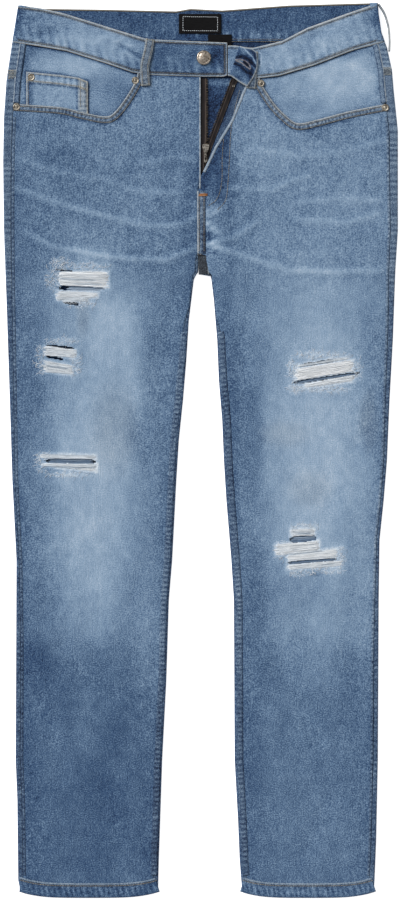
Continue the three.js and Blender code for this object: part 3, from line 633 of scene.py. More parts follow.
def add_mesh(name, points, faces, material, shade=None, tint=None):
    """One object from points in millimetres and four-cornered faces, smooth-shaded, with
    how pale it is and how much thread colour it has kept as values on its points."""
    mesh = bpy.data.meshes.new(name)
    mesh.vertices.add(len(points))
    mesh.vertices.foreach_set("co", (points * MM).astype(np.float32).ravel())
    mesh.loops.add(faces.size)
    mesh.loops.foreach_set("vertex_index", faces.astype(np.int32).ravel())
    mesh.polygons.add(len(faces))
    mesh.polygons.foreach_set("loop_start", np.arange(0, faces.size, 4, dtype=np.int32))
    mesh.update(calc_edges=True)
    mesh.polygons.foreach_set("use_smooth", np.ones(len(faces), bool))
    for label, values in (("shade", shade), ("tint", tint)):
        if values is not None:
            layer = mesh.attributes.new(label, "FLOAT", "POINT")
            layer.data.foreach_set("value", np.asarray(values, np.float32).ravel())
    mesh.materials.append(material)
    piece = bpy.data.objects.new(name, mesh)
    bpy.context.scene.collection.objects.link(piece)
    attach(piece, "garment")
    return piece


def closed_sheet(name, upper, under, material, shade, tint=None, keep=None):
    """A closed sheet between two grids of points: both faces, and a wall along every edge
    of the cells that are kept. All faces are turned over if the volume that they hold, a
    sixth of the sum of their corners' triple products, comes out negative."""
    rows, columns = upper.shape[:2]
    keep = np.ones((rows - 1, columns - 1), bool) if keep is None else keep
    number = np.arange(rows * columns).reshape(rows, columns)
    a, b, c, d = number[:-1, :-1], number[:-1, 1:], number[1:, 1:], number[1:, :-1]
    below = rows * columns
    faces = [np.stack([a, b, c, d], -1)[keep], np.stack([d, c, b, a], -1)[keep] + below]
    framed = np.pad(keep, 1)
    sides = [
        (framed[:-2, 1:-1], a, b), (framed[2:, 1:-1], c, d),
        (framed[1:-1, :-2], d, a), (framed[1:-1, 2:], b, c),
    ]
    for neighbour, start, end in sides:
        edge = keep & ~neighbour
        wall = np.stack([end[edge], start[edge], start[edge] + below, end[edge] + below], -1)
        faces.append(wall)
    faces = np.concatenate(faces)
    points = np.concatenate([upper.reshape(-1, 3), under.reshape(-1, 3)])
    corner = points[faces]
    turns = np.cross(corner[:, 1], corner[:, 2]) + np.cross(corner[:, 2], corner[:, 3])
    if np.sum(corner[:, 0] * turns) < 0:
        faces = faces[:, ::-1]
    used, renumbered = np.unique(faces, return_inverse=True)
    values = []
    for v in (shade, tint):
        whole = np.broadcast_to(0.0 if v is None else v, (rows, columns))
        values.append(np.tile(whole.ravel(), 2)[used])
    cloth = f"{name}_cloth"
    return add_mesh(cloth, points[used], renumbered.reshape(faces.shape), material, *values)


def flat_sheet(name, x, y, top, thickness, material, shade, tint=None, keep=None):
    """A closed sheet that lies flat: its underside is straight below its top."""
    upper = np.stack([x, y, top], -1)
    under = np.stack([x, y, top - thickness], -1)
    return closed_sheet(name, upper, under, material, shade, tint, keep)


def stand_in(piece, node):
    """Shows the piece in the node's place, with the node's material slot."""
    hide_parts(node)
    return piece


def ruled(first, second, count):
    """Grid between two lines with the same number of points: straight across from one to
    the other. Rows follow the lines and columns the shares."""
    share = np.linspace(0, 1, count)[None, :, None]
    return first[:, None, :] * (1 - share) + second[:, None, :] * share


def tubes(name, paths, radii, material, sides=4, shade=None, tint=None):
    """Threads as one mesh: a small ring of points carried along each path, closed at both
    ends. Paths are threads by points by 3; radii can differ at each point."""
    count, stations = paths.shape[:2]
    along = np.gradient(paths, axis=1)
    along /= np.maximum(np.linalg.norm(along, axis=-1, keepdims=True), 1e-9)
    up = np.where(np.abs(along[..., 2:]) > 0.9, [1.0, 0, 0], [0, 0, 1.0])
    across = np.cross(along, up)
    across /= np.linalg.norm(across, axis=-1, keepdims=True)
    upward = np.cross(across, along)
    angle = (np.arange(sides) + 0.5) * 2 * np.pi / sides
    ring = np.cos(angle)[:, None] * across[:, :, None] + np.sin(angle)[:, None] * upward[:, :, None]
    radii = np.broadcast_to(radii, (count, stations))
    points = paths[:, :, None] + ring * radii[:, :, None, None]
    number = np.arange(count * stations * sides).reshape(count, stations, sides)
    turn = np.roll(number, -1, axis=2)
    skin = np.stack([number[:, :-1], turn[:, :-1], turn[:, 1:], number[:, 1:]], -1).reshape(-1, 4)
    caps = []
    for k in range(1, sides - 2, 2):
        pick = [0, k, k + 1, k + 2]
        caps.append(number[:, 0][:, pick[::-1]])
        caps.append(number[:, -1][:, pick])
    faces = np.concatenate([skin, *caps])[:, ::-1]

    def spread(values):
        """Each thread's or station's value given to every point of its ring."""
        if values is None:
            return None
        return np.broadcast_to(np.reshape(values, (count, -1, 1)), (count, stations, sides))

    return add_mesh(name, points.reshape(-1, 3), faces, material, spread(shade), spread(tint))


def turned(name, profile, centre, base, steps, material):
    """A round piece: its profile of (radius, height) points carried round the upright axis,
    with a small flat quad-sided cap at the middle of its top and bottom."""
    line = spline(profile, 0.35)
    angle = np.linspace(0, 2 * np.pi, steps + 1)[:-1]
    radius = np.maximum(line[:, 0], 0.02)[:, None]
    points = np.stack([
        centre[0] + radius * np.cos(angle), centre[1] + radius * np.sin(angle),
        np.broadcast_to(base + line[:, 1:], (len(line), steps)),
    ], -1)
    number = np.arange(points.shape[0] * steps).reshape(-1, steps)
    turn = np.roll(number, -1, axis=1)
    skin = np.stack([number[:-1], turn[:-1], turn[1:], number[1:]], -1).reshape(-1, 4)
    pick = np.arange(1, steps - 2, 2)
    last = number[-1]
    cap = np.stack([np.full(len(pick), last[0]), last[pick], last[pick + 1], last[pick + 2]], -1)
    first = number[0]
    foot = np.stack([first[pick + 2], first[pick + 1], first[pick], np.full(len(pick), first[0])], -1)
    return add_mesh(name, points.reshape(-1, 3), np.concatenate([skin, cap, foot]), material)


# ---------------------------------------------------------------------------
# Materials
# ---------------------------------------------------------------------------


def colour(red, green, blue):
    """Linear colour of a screen colour given in 0..255, by the usual 2.4 power curve."""
    share = np.array([red, green, blue]) / 255
    linear = np.where(share <= 0.04045, share / 12.92, ((share + 0.055) / 1.055) ** 2.4)
    return (*linear.tolist(), 1.0)


class Nodes:
    """A new material and short calls that add nodes to it."""

    def __init__(self, name, roughness, metallic=0.0, specular=0.5):
        self.material = bpy.data.materials.new(name)
        self.material.use_nodes = True
        self.tree = self.material.node_tree
        self.shader = self.tree.nodes["Principled BSDF"]
        self.shader.inputs["Roughness"].default_value = roughness
        self.shader.inputs["Metallic"].default_value = metallic
        self.shader.inputs["Specular IOR Level"].default_value = specular
        self.place = self.tree.nodes.new("ShaderNodeTexCoord").outputs["Object"]

    def link(self, source, target):
        """Joins an output to an input."""
        self.tree.links.new(source, target)

    def stretched(self, x, y, z, turn=0.0):
        """Object coordinates in units of x, y and z millimetres."""
        node = self.tree.nodes.new("ShaderNodeMapping")
        node.inputs["Scale"].default_value = [1 / (size * MM) for size in (x, y, z)]
        node.inputs["Rotation"].default_value[2] = turn
        self.link(self.place, node.inputs["Vector"])
        return node.outputs["Vector"]

    def noise(self, vector, detail=2.0):
        """Cloudy noise of about 0..1 over a vector."""
        node = self.tree.nodes.new("ShaderNodeTexNoise")
        node.inputs["Scale"].default_value = 1.0
        node.inputs["Detail"].default_value = detail
        self.link(vector, node.inputs["Vector"])
        return node.outputs["Fac"]

    def value(self, name):
        """The value of that name on the points of the piece."""
        node = self.tree.nodes.new("ShaderNodeAttribute")
        node.attribute_name = name
        return node.outputs["Fac"]

    def sum(self, first, second, factor, offset):
        """first + (second - offset) * factor."""
        centred = self.tree.nodes.new("ShaderNodeMath")
        centred.operation = "SUBTRACT"
        centred.inputs[1].default_value = offset
        self.link(second, centred.inputs[0])
        node = self.tree.nodes.new("ShaderNodeMath")
        node.operation = "MULTIPLY_ADD"
        node.inputs[1].default_value = factor
        self.link(centred.outputs[0], node.inputs[0])
        if isinstance(first, float):
            node.inputs[2].default_value = first
        else:
            self.link(first, node.inputs[2])
        return node.outputs[0]

    def scaled(self, first, second, factor):
        """first + second * factor, where all three vary."""
        node = self.tree.nodes.new("ShaderNodeMath")
        node.operation = "MULTIPLY_ADD"
        self.link(second, node.inputs[0])
        self.link(factor, node.inputs[1])
        self.link(first, node.inputs[2])
        return node.outputs[0]

    def ramp(self, factor, stops):
        """Colour by (position, colour) stops."""
        node = self.tree.nodes.new("ShaderNodeValToRGB")
        band = node.color_ramp
        while len(band.elements) < len(stops):
            band.elements.new(0.5)
        for element, (position, shade) in zip(band.elements, stops):
            element.position = position
            element.color = shade
        self.link(factor, node.inputs["Fac"])
        return node.outputs["Color"]

    def mix(self, factor, first, second):
        """From the first colour to the second."""
        node = self.tree.nodes.new("ShaderNodeMix")
        node.data_type = "RGBA"
        self.link(factor, node.inputs[0])
        self.link(first, node.inputs[6])
        if isinstance(second, tuple):
            node.inputs[7].default_value = second
        else:
            self.link(second, node.inputs[7])
        return node.outputs[2]

    def finish(self, base, height=None, depth=0.3):
        """Sets the colour and a bump of a depth in millimetres."""
        if isinstance(base, tuple):
            self.shader.inputs["Base Color"].default_value = base
        else:
            self.link(base, self.shader.inputs["Base Color"])
        if height is not None:
            bump = self.tree.nodes.new("ShaderNodeBump")
            bump.inputs["Distance"].default_value = depth * MM
            bump.inputs["Strength"].default_value = 1.0
            self.link(height, bump.inputs["Height"])
            self.link(bump.outputs["Normal"], self.shader.inputs["Normal"])
        return self.material


INDIGO_SHADES = [
    (0.0, colour(14, 20, 34)), (0.16, colour(27, 44, 74)), (0.31, colour(55, 82, 118)),
    (0.37, colour(72, 96, 125)), (0.44, colour(90, 116, 147)), (0.57, colour(124, 149, 176)),
    (0.68, colour(154, 176, 199)), (0.84, colour(204, 216, 228)), (1.0, colour(244, 246, 249)),
]
SEAM_SHADES = [
    (0.0, colour(20, 22, 26)), (0.3, colour(70, 74, 76)), (0.45, colour(112, 118, 120)),
    (0.6, colour(152, 152, 146)), (0.8, colour(206, 198, 184)), (1.0, colour(244, 238, 228)),
]


def denim(name, grain_size=(1.4, 10)):
    """Indigo denim: bare weft shows through as upright streaks and specks, over the worn
    shade of the piece; the seams keep a grey-olive tint where the dye has gone."""
    made = Nodes(name, roughness=0.93, specular=0.2)
    slub = made.noise(made.stretched(*grain_size, 6), detail=2.0)
    speck = made.noise(made.stretched(1.4, 1.25, 3), detail=3.0)
    cloud = made.noise(made.stretched(9, 12, 12), detail=3.0)
    worn = made.value("shade")
    grain = made.sum(made.sum(0.0, slub, 0.2, 0.5), speck, 0.84, 0.5)
    amount = made.ramp(worn, [
        (0.42, (1, 1, 1, 1)), (0.5, (0.88, 0.88, 0.88, 1)), (0.66, (0.45, 0.45, 0.45, 1)),
    ])
    shade = made.sum(made.scaled(worn, grain, amount), cloud, 0.16, 0.5)
    dyed = made.ramp(shade, INDIGO_SHADES)
    undyed = made.ramp(shade, SEAM_SHADES)
    twill = made.tree.nodes.new("ShaderNodeTexWave")
    twill.inputs["Scale"].default_value = 0.32
    made.link(made.stretched(1, 1, 1, math.radians(28)), twill.inputs["Vector"])
    height = made.sum(slub, speck, 0.6, 0.5)
    height = made.sum(height, twill.outputs["Fac"], 0.25, 0.5)
    base = made.mix(made.value("tint"), dyed, undyed)
    return made.finish(base, height, 0.5)


def yarn(name, dark, middle, pale):
    """Sewing thread or loose weft: fine twisted flecks over its own shade."""
    made = Nodes(name, roughness=0.85, specular=0.25)
    fleck = made.noise(made.stretched(0.7, 0.7, 0.7))
    shade = made.sum(made.value("shade"), fleck, 0.3, 0.5)
    stops = [(0.0, colour(*dark)), (0.5, colour(*middle)), (1.0, colour(*pale))]
    return made.finish(made.ramp(shade, stops), fleck, 0.2)


def metal(name, base, dark, roughness):
    """Worn metal: cloudy patches of darker tarnish, with fine pits in the surface."""
    made = Nodes(name, roughness=roughness, metallic=1.0)
    tarnish = made.noise(made.stretched(2.4, 2.4, 2.4), detail=4.0)
    pits = made.noise(made.stretched(0.5, 0.5, 0.5))
    return made.finish(made.ramp(tarnish, [(0.35, dark), (0.6, base)]), pits, 0.06)


def woven_black(name):
    """Black satin label cloth with fine cross ribs."""
    made = Nodes(name, roughness=0.85, specular=0.15)
    rib = made.noise(made.stretched(6, 0.6, 2))
    black = made.ramp(rib, [(0.3, colour(6, 6, 7)), (0.7, colour(20, 19, 21))])
    return made.finish(black, rib, 0.15)


FADED = denim("faded_denim")
BACKING = denim("back_denim")
WAIST = denim("waistband_denim", grain_size=(7, 1.8))
FACING = denim("facing_denim", grain_size=(9, 1.5))
INSIDE = denim("inside_denim")
WEFT = yarn("bare_weft", (104, 126, 152), (206, 217, 227), (248, 250, 252))
TAN = yarn("tan_thread", (50, 48, 48), (136, 130, 119), (216, 207, 192))
WHIPPED = yarn("whipped_thread", (86, 76, 84), (172, 160, 168), (240, 234, 236))
ORANGE = yarn("orange_thread", (120, 72, 40), (186, 128, 84), (226, 178, 138))
TAPE_BROWN = yarn("zip_tape", (6, 6, 8), (46, 40, 40), (136, 122, 110))
BLACK = woven_black("label_cloth")
NICKEL = metal("button_metal", colour(186, 176, 164), colour(112, 100, 88), 0.42)
COPPER = metal("rivet_metal", colour(178, 171, 158), colour(92, 84, 76), 0.5)
BRASS = metal("zip_metal", colour(196, 190, 180), colour(60, 55, 50), 0.35)
TEETH = metal("zip_teeth_metal", colour(112, 100, 84), colour(34, 30, 27), 0.5)

# ---------------------------------------------------------------------------
# Front panels
# ---------------------------------------------------------------------------

COLUMNS = 92
FINE_ROW, COARSE_ROW = 1.15, 2.9
FINE_ZONES = {-1: [(240, 84), (2, -34)], 1: [(122, 62), (-88, -154)]}
LEVEL_BELOW = 330  # rows run level below this height
TOP_REACH = 140  # the shape of the top line dies away over this distance


def row_heights(top, bottom, zones):
    """Heights from top to bottom: equal steps of the running sum of 1 over the spacing
    that is wanted at each height, so rows are closer across the rips."""
    y = np.linspace(top, bottom, 6000)
    spacing = np.full(y.shape, COARSE_ROW)
    for high, low in zones:
        spacing[(y < high) & (y > low)] = FINE_ROW
    run = np.concatenate([[0], np.cumsum(-np.diff(y) / spacing[1:])])
    return np.interp(np.linspace(0, run[-1], int(run[-1]) + 2), run, y)


def pocket_opening(side):
    """Edge of the opening, from the side seam round to the waistband."""
    start = (outseam(side, POCKET_SIDE), POCKET_SIDE)
    end = (POCKET_TOP[side], at(BAND_SEAM[side], POCKET_TOP[side]))
    return spline([start, *POCKET[side], end])


def opening_height(side, x):
    """Height of the pocket opening's edge at each x."""
    opening = pocket_opening(side)
    opening = opening[np.argsort(opening[:, 0])]
    return np.interp(x, opening[:, 0], opening[:, 1])


def front_grid(side):
    """Rows ruled straight from the outseam to the fly, crotch seam and inseam; near the
    waist they bend to the pocket opening and waist seam, near the hem to its bow."""
    fly = FLY[side]
    waist = fly[0][0]
    rows = row_heights(waist, HEM_CORNER, FINE_ZONES[side])
    outer_y = np.where(
        rows > LEVEL_BELOW,
        LEVEL_BELOW + (rows - LEVEL_BELOW) * (POCKET_SIDE - LEVEL_BELOW) / (waist - LEVEL_BELOW),
        rows,
    )
    outer = np.stack([outseam(side, outer_y) - side * GAP / 2, outer_y], -1)
    inner_x = np.where(rows > CROTCH_SEAM_END, at(fly, rows), inseam(side, rows))
    inner = np.stack([inner_x + side * GAP / 2, rows], -1)
    grid = ruled(outer, inner, COLUMNS)
    x = grid[0, :, 0]
    past = side * x < side * POCKET_TOP[side]
    top = np.where(past, at(BAND_SEAM[side], x), opening_height(side, x)) - GAP / 2
    bend = ease(waist - TOP_REACH, waist, rows)[:, None]
    grid[:, :, 1] += bend * (top - grid[0, :, 1])
    grid[:, :, 1] -= ease(-460, HEM_CORNER, rows)[:, None] * hem_bow(side, grid[:, :, 0])
    return grid


# Greyer places on the knees as (x, y, half width, half length)
HAZE = [
    (-104, 24, 28, 54), (-141, 160, 8, 24), (130, -46, 26, 22), (202, 34, 12, 34),
    (100, 20, 30, 16),
]


def front_panel(side, name):
    """A front with its rips: cells inside a slit are left out, bare bands are sunk and
    pale, and the cloth round them is fuzzy."""
    grid = front_grid(side)
    x, y = grid[:, :, 0], grid[:, :, 1]
    cx = (x[:-1, :-1] + x[1:, 1:]) / 2
    cy = (y[:-1, :-1] + y[1:, 1:]) / 2
    hole = np.zeros(cx.shape, bool)
    for shape in SLITS[side]:
        hole |= in_strip(shape, cx, cy)
    bare = np.zeros(x.shape)
    ragged = x + 2.4 * mottle(0 * x, y, 1.6, 211)
    for shape in BANDS[side]:
        bare = np.maximum(bare, np.where(in_strip(shape, ragged, y), shape[6], 0))
    halo = rip_halo(side, x, y)
    shade = denim_shade(x, y) + 0.24 * halo
    shade = np.where(bare > 0, 0.56 + 0.34 * bare, shade)
    top = leg_top(x, y) - 0.5 * (bare > 0) + 0.3 * halo * (bare == 0)
    tint = sum(0.13 * soft_patch(x, y, *haze) for haze in HAZE)
    piece = flat_sheet(f"front_panel_{name}", x, y, top, DENIM, FADED, shade, tint, ~hole)
    return stand_in(piece, f"front_panel_{name}")


front_left = front_panel(-1, "left")
front_right = front_panel(1, "right")

# ---------------------------------------------------------------------------
# Back panels, yokes and the back of the waistband: folded round the edges
# ---------------------------------------------------------------------------


def folded_path(left, right, seam_left, seam_right, top, bottom, thickness, steps):
    """Across one piece, as (rows, columns) of x and z: level from the left seam to the
    edge, a half circle down, level along the surface, a half circle up and level back to
    the right seam."""
    flat, bend, under = steps
    angle = np.linspace(0, np.pi, bend)[None, :]
    radius = (top - bottom)[:, None] / 2
    middle = (top + bottom)[:, None] / 2
    share = np.linspace(0, 1, flat + 1)[None, :-1]

    def turn(edge, side):
        """The half circle inside an edge: its middle line's radius is half the drop."""
        centre = edge[:, None] - side * (radius + thickness[:, None] / 2)
        return centre + side * radius * np.sin(angle), middle - side * radius * np.cos(angle)

    left_x, left_z = turn(left, -1)
    right_x, right_z = turn(right, 1)
    top_left = seam_left[:, None] + (left_x[:, :1] - seam_left[:, None]) * share
    top_right = seam_right[:, None] + (right_x[:, -1:] - seam_right[:, None]) * share
    along = np.linspace(0, 1, under + 2)[None, 1:-1]
    flat_x = left_x[:, -1:] + (right_x[:, :1] - left_x[:, -1:]) * along
    level_top = np.broadcast_to(top[:, None], top_left.shape)
    level_bottom = np.broadcast_to(bottom[:, None], flat_x.shape)
    x = np.concatenate([top_left, left_x, flat_x, right_x, top_right[:, ::-1]], 1)
    z = np.concatenate([level_top, left_z, level_bottom, right_z, level_top], 1)
    return x, z


def folded_sheet(name, x, y, z, thickness, material, shade, tint):
    """A sheet round its middle surface: each point moves to both sides by half the
    thickness, at a right angle to its row as seen from the row's end."""
    dx, dz = np.gradient(x, axis=1), np.gradient(z, axis=1)
    size = np.maximum(np.hypot(dx, dz), 1e-9)
    half = thickness[:, None] / 2
    shift = np.stack([-dz / size * half, np.zeros_like(x), dx / size * half], -1)
    middle = np.stack([x, y, z], -1)
    return closed_sheet(name, middle + shift, middle - shift, material, shade, tint)


WRAP_STEPS = (5, 7, 22)


def wrap_shade(x, y, z, seed):
    """Where the back shows on the front it is a little darker, and beaded with painted light and
    shade of the seam's gathers; the layer that lies on the surface is darker still, as the cloth's
    inside."""
    upper = ease(2.6, 4.6, z)
    bead = 0.15 * puckers(y, 5.8, seed) + 0.04 * mottle(x, y, 5, seed + 5)
    front = np.where(x < 0, 0.4, 0.43) - 0.02 * ease(-200, -300, y) + bead
    return 0.2 + (front - 0.2) * upper


def yoke_seam(x):
    """The yoke dips from the sides to the middle, in two straight lines."""
    side = np.where(x < 0, -outer_edge(-1, YOKE_SIDE), outer_edge(1, YOKE_SIDE))
    return YOKE_MIDDLE + (YOKE_SIDE - YOKE_MIDDLE) * np.clip(np.abs(x) / (side - 14), 0, 1)


def half_across(side, y, thickness):
    """Left or right half of the back at each height: round both edges along a leg, and
    level from the middle seam to the outer edge and round it at the seat."""
    legged = y < CROTCH_SEAM_END
    middle = np.where(legged, inner_edge(side, y), side * GAP / 2)
    outer = outer_edge(side, y)
    outer_seam = outseam(side, y) + side * GAP / 2
    inner_seam = np.where(legged, inseam(side, y) - side * GAP / 2, side * (GAP / 2 + 6))
    left, right = (outer, middle) if side < 0 else (middle, outer)
    seams = (outer_seam, inner_seam) if side < 0 else (inner_seam, outer_seam)
    top = floor_level(y) + FOLD_LEVEL + (thickness - DENIM) / 2
    bottom = floor_level(y) + thickness / 2
    x, z = folded_path(left, right, *seams, top, bottom, thickness, WRAP_STEPS)
    # At the seat the half that runs to the middle stays on the surface, evenly spaced
    count = x.shape[1] // 2
    inner = np.arange(x.shape[1] - count, x.shape[1])[::-1] if side < 0 else np.arange(count)
    start = x[:, inner[-1], None]
    share = np.linspace(0, 1, count)[None, :]
    level_x = side * GAP / 2 + (start - side * GAP / 2) * share
    x[:, inner] = np.where(legged[:, None], x[:, inner], level_x)
    z[:, inner] = np.where(legged[:, None], z[:, inner], bottom[:, None])
    return x, z


def back_panel(side, name):
    """Seat and leg in one piece, turned up at the hem; its top follows the yoke's seam."""
    seat = np.linspace(YOKE_SIDE, CROTCH_SEAM_END + 1, 70)
    leg = np.linspace(CROTCH_SEAM_END - 0.5, HEM_CORNER, 330)
    y = np.concatenate([seat, leg])
    thickness = DENIM + (HEM - DENIM) * ease(HEM_TOP + 2, HEM_TOP - 2, y)
    x, z = half_across(side, y, thickness)
    place = np.broadcast_to(y[:, None], x.shape).copy()
    share = np.clip((YOKE_SIDE - place) / (YOKE_SIDE - SEAT_END), 0, 1)
    seam = yoke_seam(x) - GAP / 2
    place = np.where(place > SEAT_END, seam + (SEAT_END - seam) * share, place)
    place -= ease(-470, HEM_CORNER, place) * hem_bow(side, x)
    ridge = 0.22 * puckers(place, 7.5, 31 + side) * ease(2.6, 4.6, z)
    shade = wrap_shade(x, place, z, 31 + side)
    tint = 0.25 * ease(2.6, 4.6, z)
    piece = folded_sheet(
        f"back_panel_{name}", x, place, z + ridge, thickness, BACKING, shade, tint
    )
    return stand_in(piece, f"back_panel_{name}")


def back_yoke(side, name):
    """The strip between the waistband's back and the yoke's seam."""
    y = np.linspace(BACK_BAND_SEAM, YOKE_SIDE, 24)
    thickness = np.full(y.shape, DENIM)
    x, z = half_across(side, y, thickness)
    share = np.linspace(0, 1, len(y))[:, None]
    place = (BACK_BAND_SEAM - GAP / 2) * (1 - share) + (yoke_seam(x) + GAP / 2) * share
    shade = wrap_shade(x, place, z, 41 + side) + 0.03 * ease(2.6, 4.6, z)
    tint = 0.2 * ease(2.6, 4.6, z)
    piece = folded_sheet(f"back_yoke_{name}", x, place, z, thickness, BACKING, shade, tint)
    return stand_in(piece, f"back_yoke_{name}")


back_left = back_panel(-1, "left")
back_right = back_panel(1, "right")
yoke_left = back_yoke(-1, "left")
yoke_right = back_yoke(1, "right")


def waistband_back():
    """The band across the back, its inside up: dark unworn denim with pale rubbed streaks
    over its lower edge; at the sides it turns to the front."""
    share = np.linspace(0, 1, 30)
    line = TOP + (BACK_BAND_SEAM - TOP) * share
    thickness = np.full(share.shape, BAND)
    x, z = folded_path(
        outer_edge(-1, line), outer_edge(1, line),
        outer_edge(-1, line) + HIDDEN_SEAM - GAP / 2, outer_edge(1, line) - HIDDEN_SEAM + GAP / 2,
        np.full(share.shape, SEAT_RISE + FOLD_LEVEL + (BAND - DENIM) / 2),
        np.full(share.shape, SEAT_RISE + BAND / 2), thickness, (5, 8, 210),
    )
    top = at(BACK_TOP, x)
    y = top + (BACK_BAND_SEAM + GAP / 2 - top) * share[:, None]
    upper = ease(4.4, 6.0, z)
    rubbed = np.clip(mottle(x, y, 3.2, 52, 3) - 0.1, 0, 1) * ease(512, 494, y)
    shade = 0.315 + 0.03 * mottle(x, y, 16, 51) + 0.3 * rubbed
    shade -= 0.05 * ease(20, 0, np.abs(x) - 12)
    shade = shade + (0.5 - shade) * upper
    relief = (0.3 * mottle(x, y, 14, 53) + 0.15 * mottle(x, y, 4, 54, 2)) * (1 - upper)
    piece = folded_sheet("waistband_back", x, y, z + relief, thickness, INSIDE, shade, 0.0 * x)
    return stand_in(piece, "waistband_back")


band_back = waistband_back()

# ---------------------------------------------------------------------------
# Front of the waistband
# ---------------------------------------------------------------------------

BAND_OFFSET = (BAND - DENIM) / 2
TURNED_OFFSET = BAND_OFFSET + BAND + LOOP + 2 * GAP


def band_top(x, y):
    """Upper face of the waistband's front."""
    return front_level(x, y) + BAND_OFFSET + BAND / 2


def band_side(side, y):
    """Where the waistband's front ends at a side."""
    return outer_edge(side, y) - side * 1.2


def band_front(side, name):
    """Ruled from the waist seam up to the top edge. Gathers stand along its lower half, creases are
    bell curves across their lines, and so are the grooves by its edges. The gathers and creases are
    also painted as light and shade, and the grooves as painted shadow."""
    start, end = (band_side(-1, 510), 32.4 - GAP) if side < 0 else (33, band_side(1, 510))
    columns = np.linspace(start, end, int((end - start) / 1.45))
    low = along_table(BAND_SEAM[side], columns, GAP / 2)
    high = along_table(BAND_TOP[side], columns, -GAP / 2)
    if side < 0:
        skew = ease(start + 40, start, columns)
        low[:, 0] += skew * (band_side(-1, 488) - start)
        high[:, 0] += skew * (band_side(-1, 533) - start)
        round_end = ease(end - 7, end, columns)
        low[:, 1] += 1.5 * round_end**2
    else:
        skew = ease(end - 40, end, columns)
        low[:, 0] += skew * (band_side(1, 494) - end)
        high[:, 0] += skew * (band_side(1, 534) - end)
        high[:, 1] += 4.5 * ease(64, 40, columns)
    grid = ruled(low, high, 34)
    x, y = grid[:, :, 0], grid[:, :, 1]
    share = np.linspace(0, 1, 34)[None, :]
    edge = np.minimum(share, 1 - share) * 42
    if side < 0:
        edge = np.minimum(edge, end - x)
    gather = puckers(x + 0.25 * y, 11, 61 + side) * ease(0.62, 0.12, share) * ease(1, 5, edge)
    crease = sum(
        rise * hump(distance_to(line, x, y), width)
        for line, width, rise in (
            ([(-96, 486), (-76, 474), (-64, 466)], 3, -0.7), ([(-90, 478), (-74, 468)], 2.5, 0.6),
            ([(-112, 496), (-84, 484)], 3, 0.4), ([(22, 480), (12, 458)], 3, -0.5),
            ([(120, 486), (152, 506)], 5, -0.4), ([(-190, 500), (-160, 506)], 5, -0.4),
        )
    )
    relief = 0.32 * gather + crease + 0.25 * mottle(x, y, 13, 62) - 0.5 * hump(edge - 2.6, 1.2)
    relief -= 0.5 * hump(edge, 0.9)
    if side < 0:
        base = 0.45 + 0.15 * soft_patch(x, y, -128, 486, 74, 26) - 0.06 * ease(-96, -60, x)
        base -= 0.09 * soft_patch(x, y, -50, 478, 13, 18)
        base -= 0.15 * soft_patch(x, y, 22, 476, 10, 12)
    else:
        base = 0.555 + 0.05 * ease(60, 130, x) - 0.04 * ease(150, 205, x) - 0.05 * ease(46, 34, x)
        # A crease painted only in colour: a painted shadow line between two painted highlights
        slot = distance_to([(70.8, 475), (70.8, 463)], x, y)
        base += 0.16 * hump(slot - 1.6, 0.8) - 0.3 * hump(slot, 0.9)
    # Painted light and shade of the gathers and creases
    shade = base + 0.08 * gather + 0.17 * crease + 0.05 * mottle(x, y, 12, 63)
    shade = shade + 0.04 * mottle(x, y, 5, 64)
    shade -= 0.16 * ease(12, 3, edge_distance(x, y)) + 0.09 * soft_patch(x, y, 210, 522, 16, 14)
    shade += 0.04 * soft_patch(x, y, -170, 516, 36, 12)
    pale = hump(edge - 0.3, 1.0)
    # Painted shadow in the stitched groove by each edge
    groove = hump(edge - 3.4, 1.1)
    shade = shade + pale * (0.74 - shade) - 0.17 * groove
    tint = np.clip(0.8 * pale + 0.65 * groove, 0, 1)
    piece = flat_sheet(
        f"waistband_front_{name}", x, y, band_top(x, y) + relief, BAND - 0.3, WAIST, shade, tint
    )
    return stand_in(piece, f"waistband_front_{name}")


band_left = band_front(-1, "left")
band_right = band_front(1, "right")

# ---------------------------------------------------------------------------
# Pockets
# ---------------------------------------------------------------------------

# The coin pocket's sides and top edge, and the depth of its hem
COIN_LEFT, COIN_RIGHT = -209, -135
COIN_TOP = [(-209, 454), (-168, 450), (-147, 447), (-135, 442)]
COIN_HEM = 12
UNDER_FRONT = -LAYER  # one layer below the front


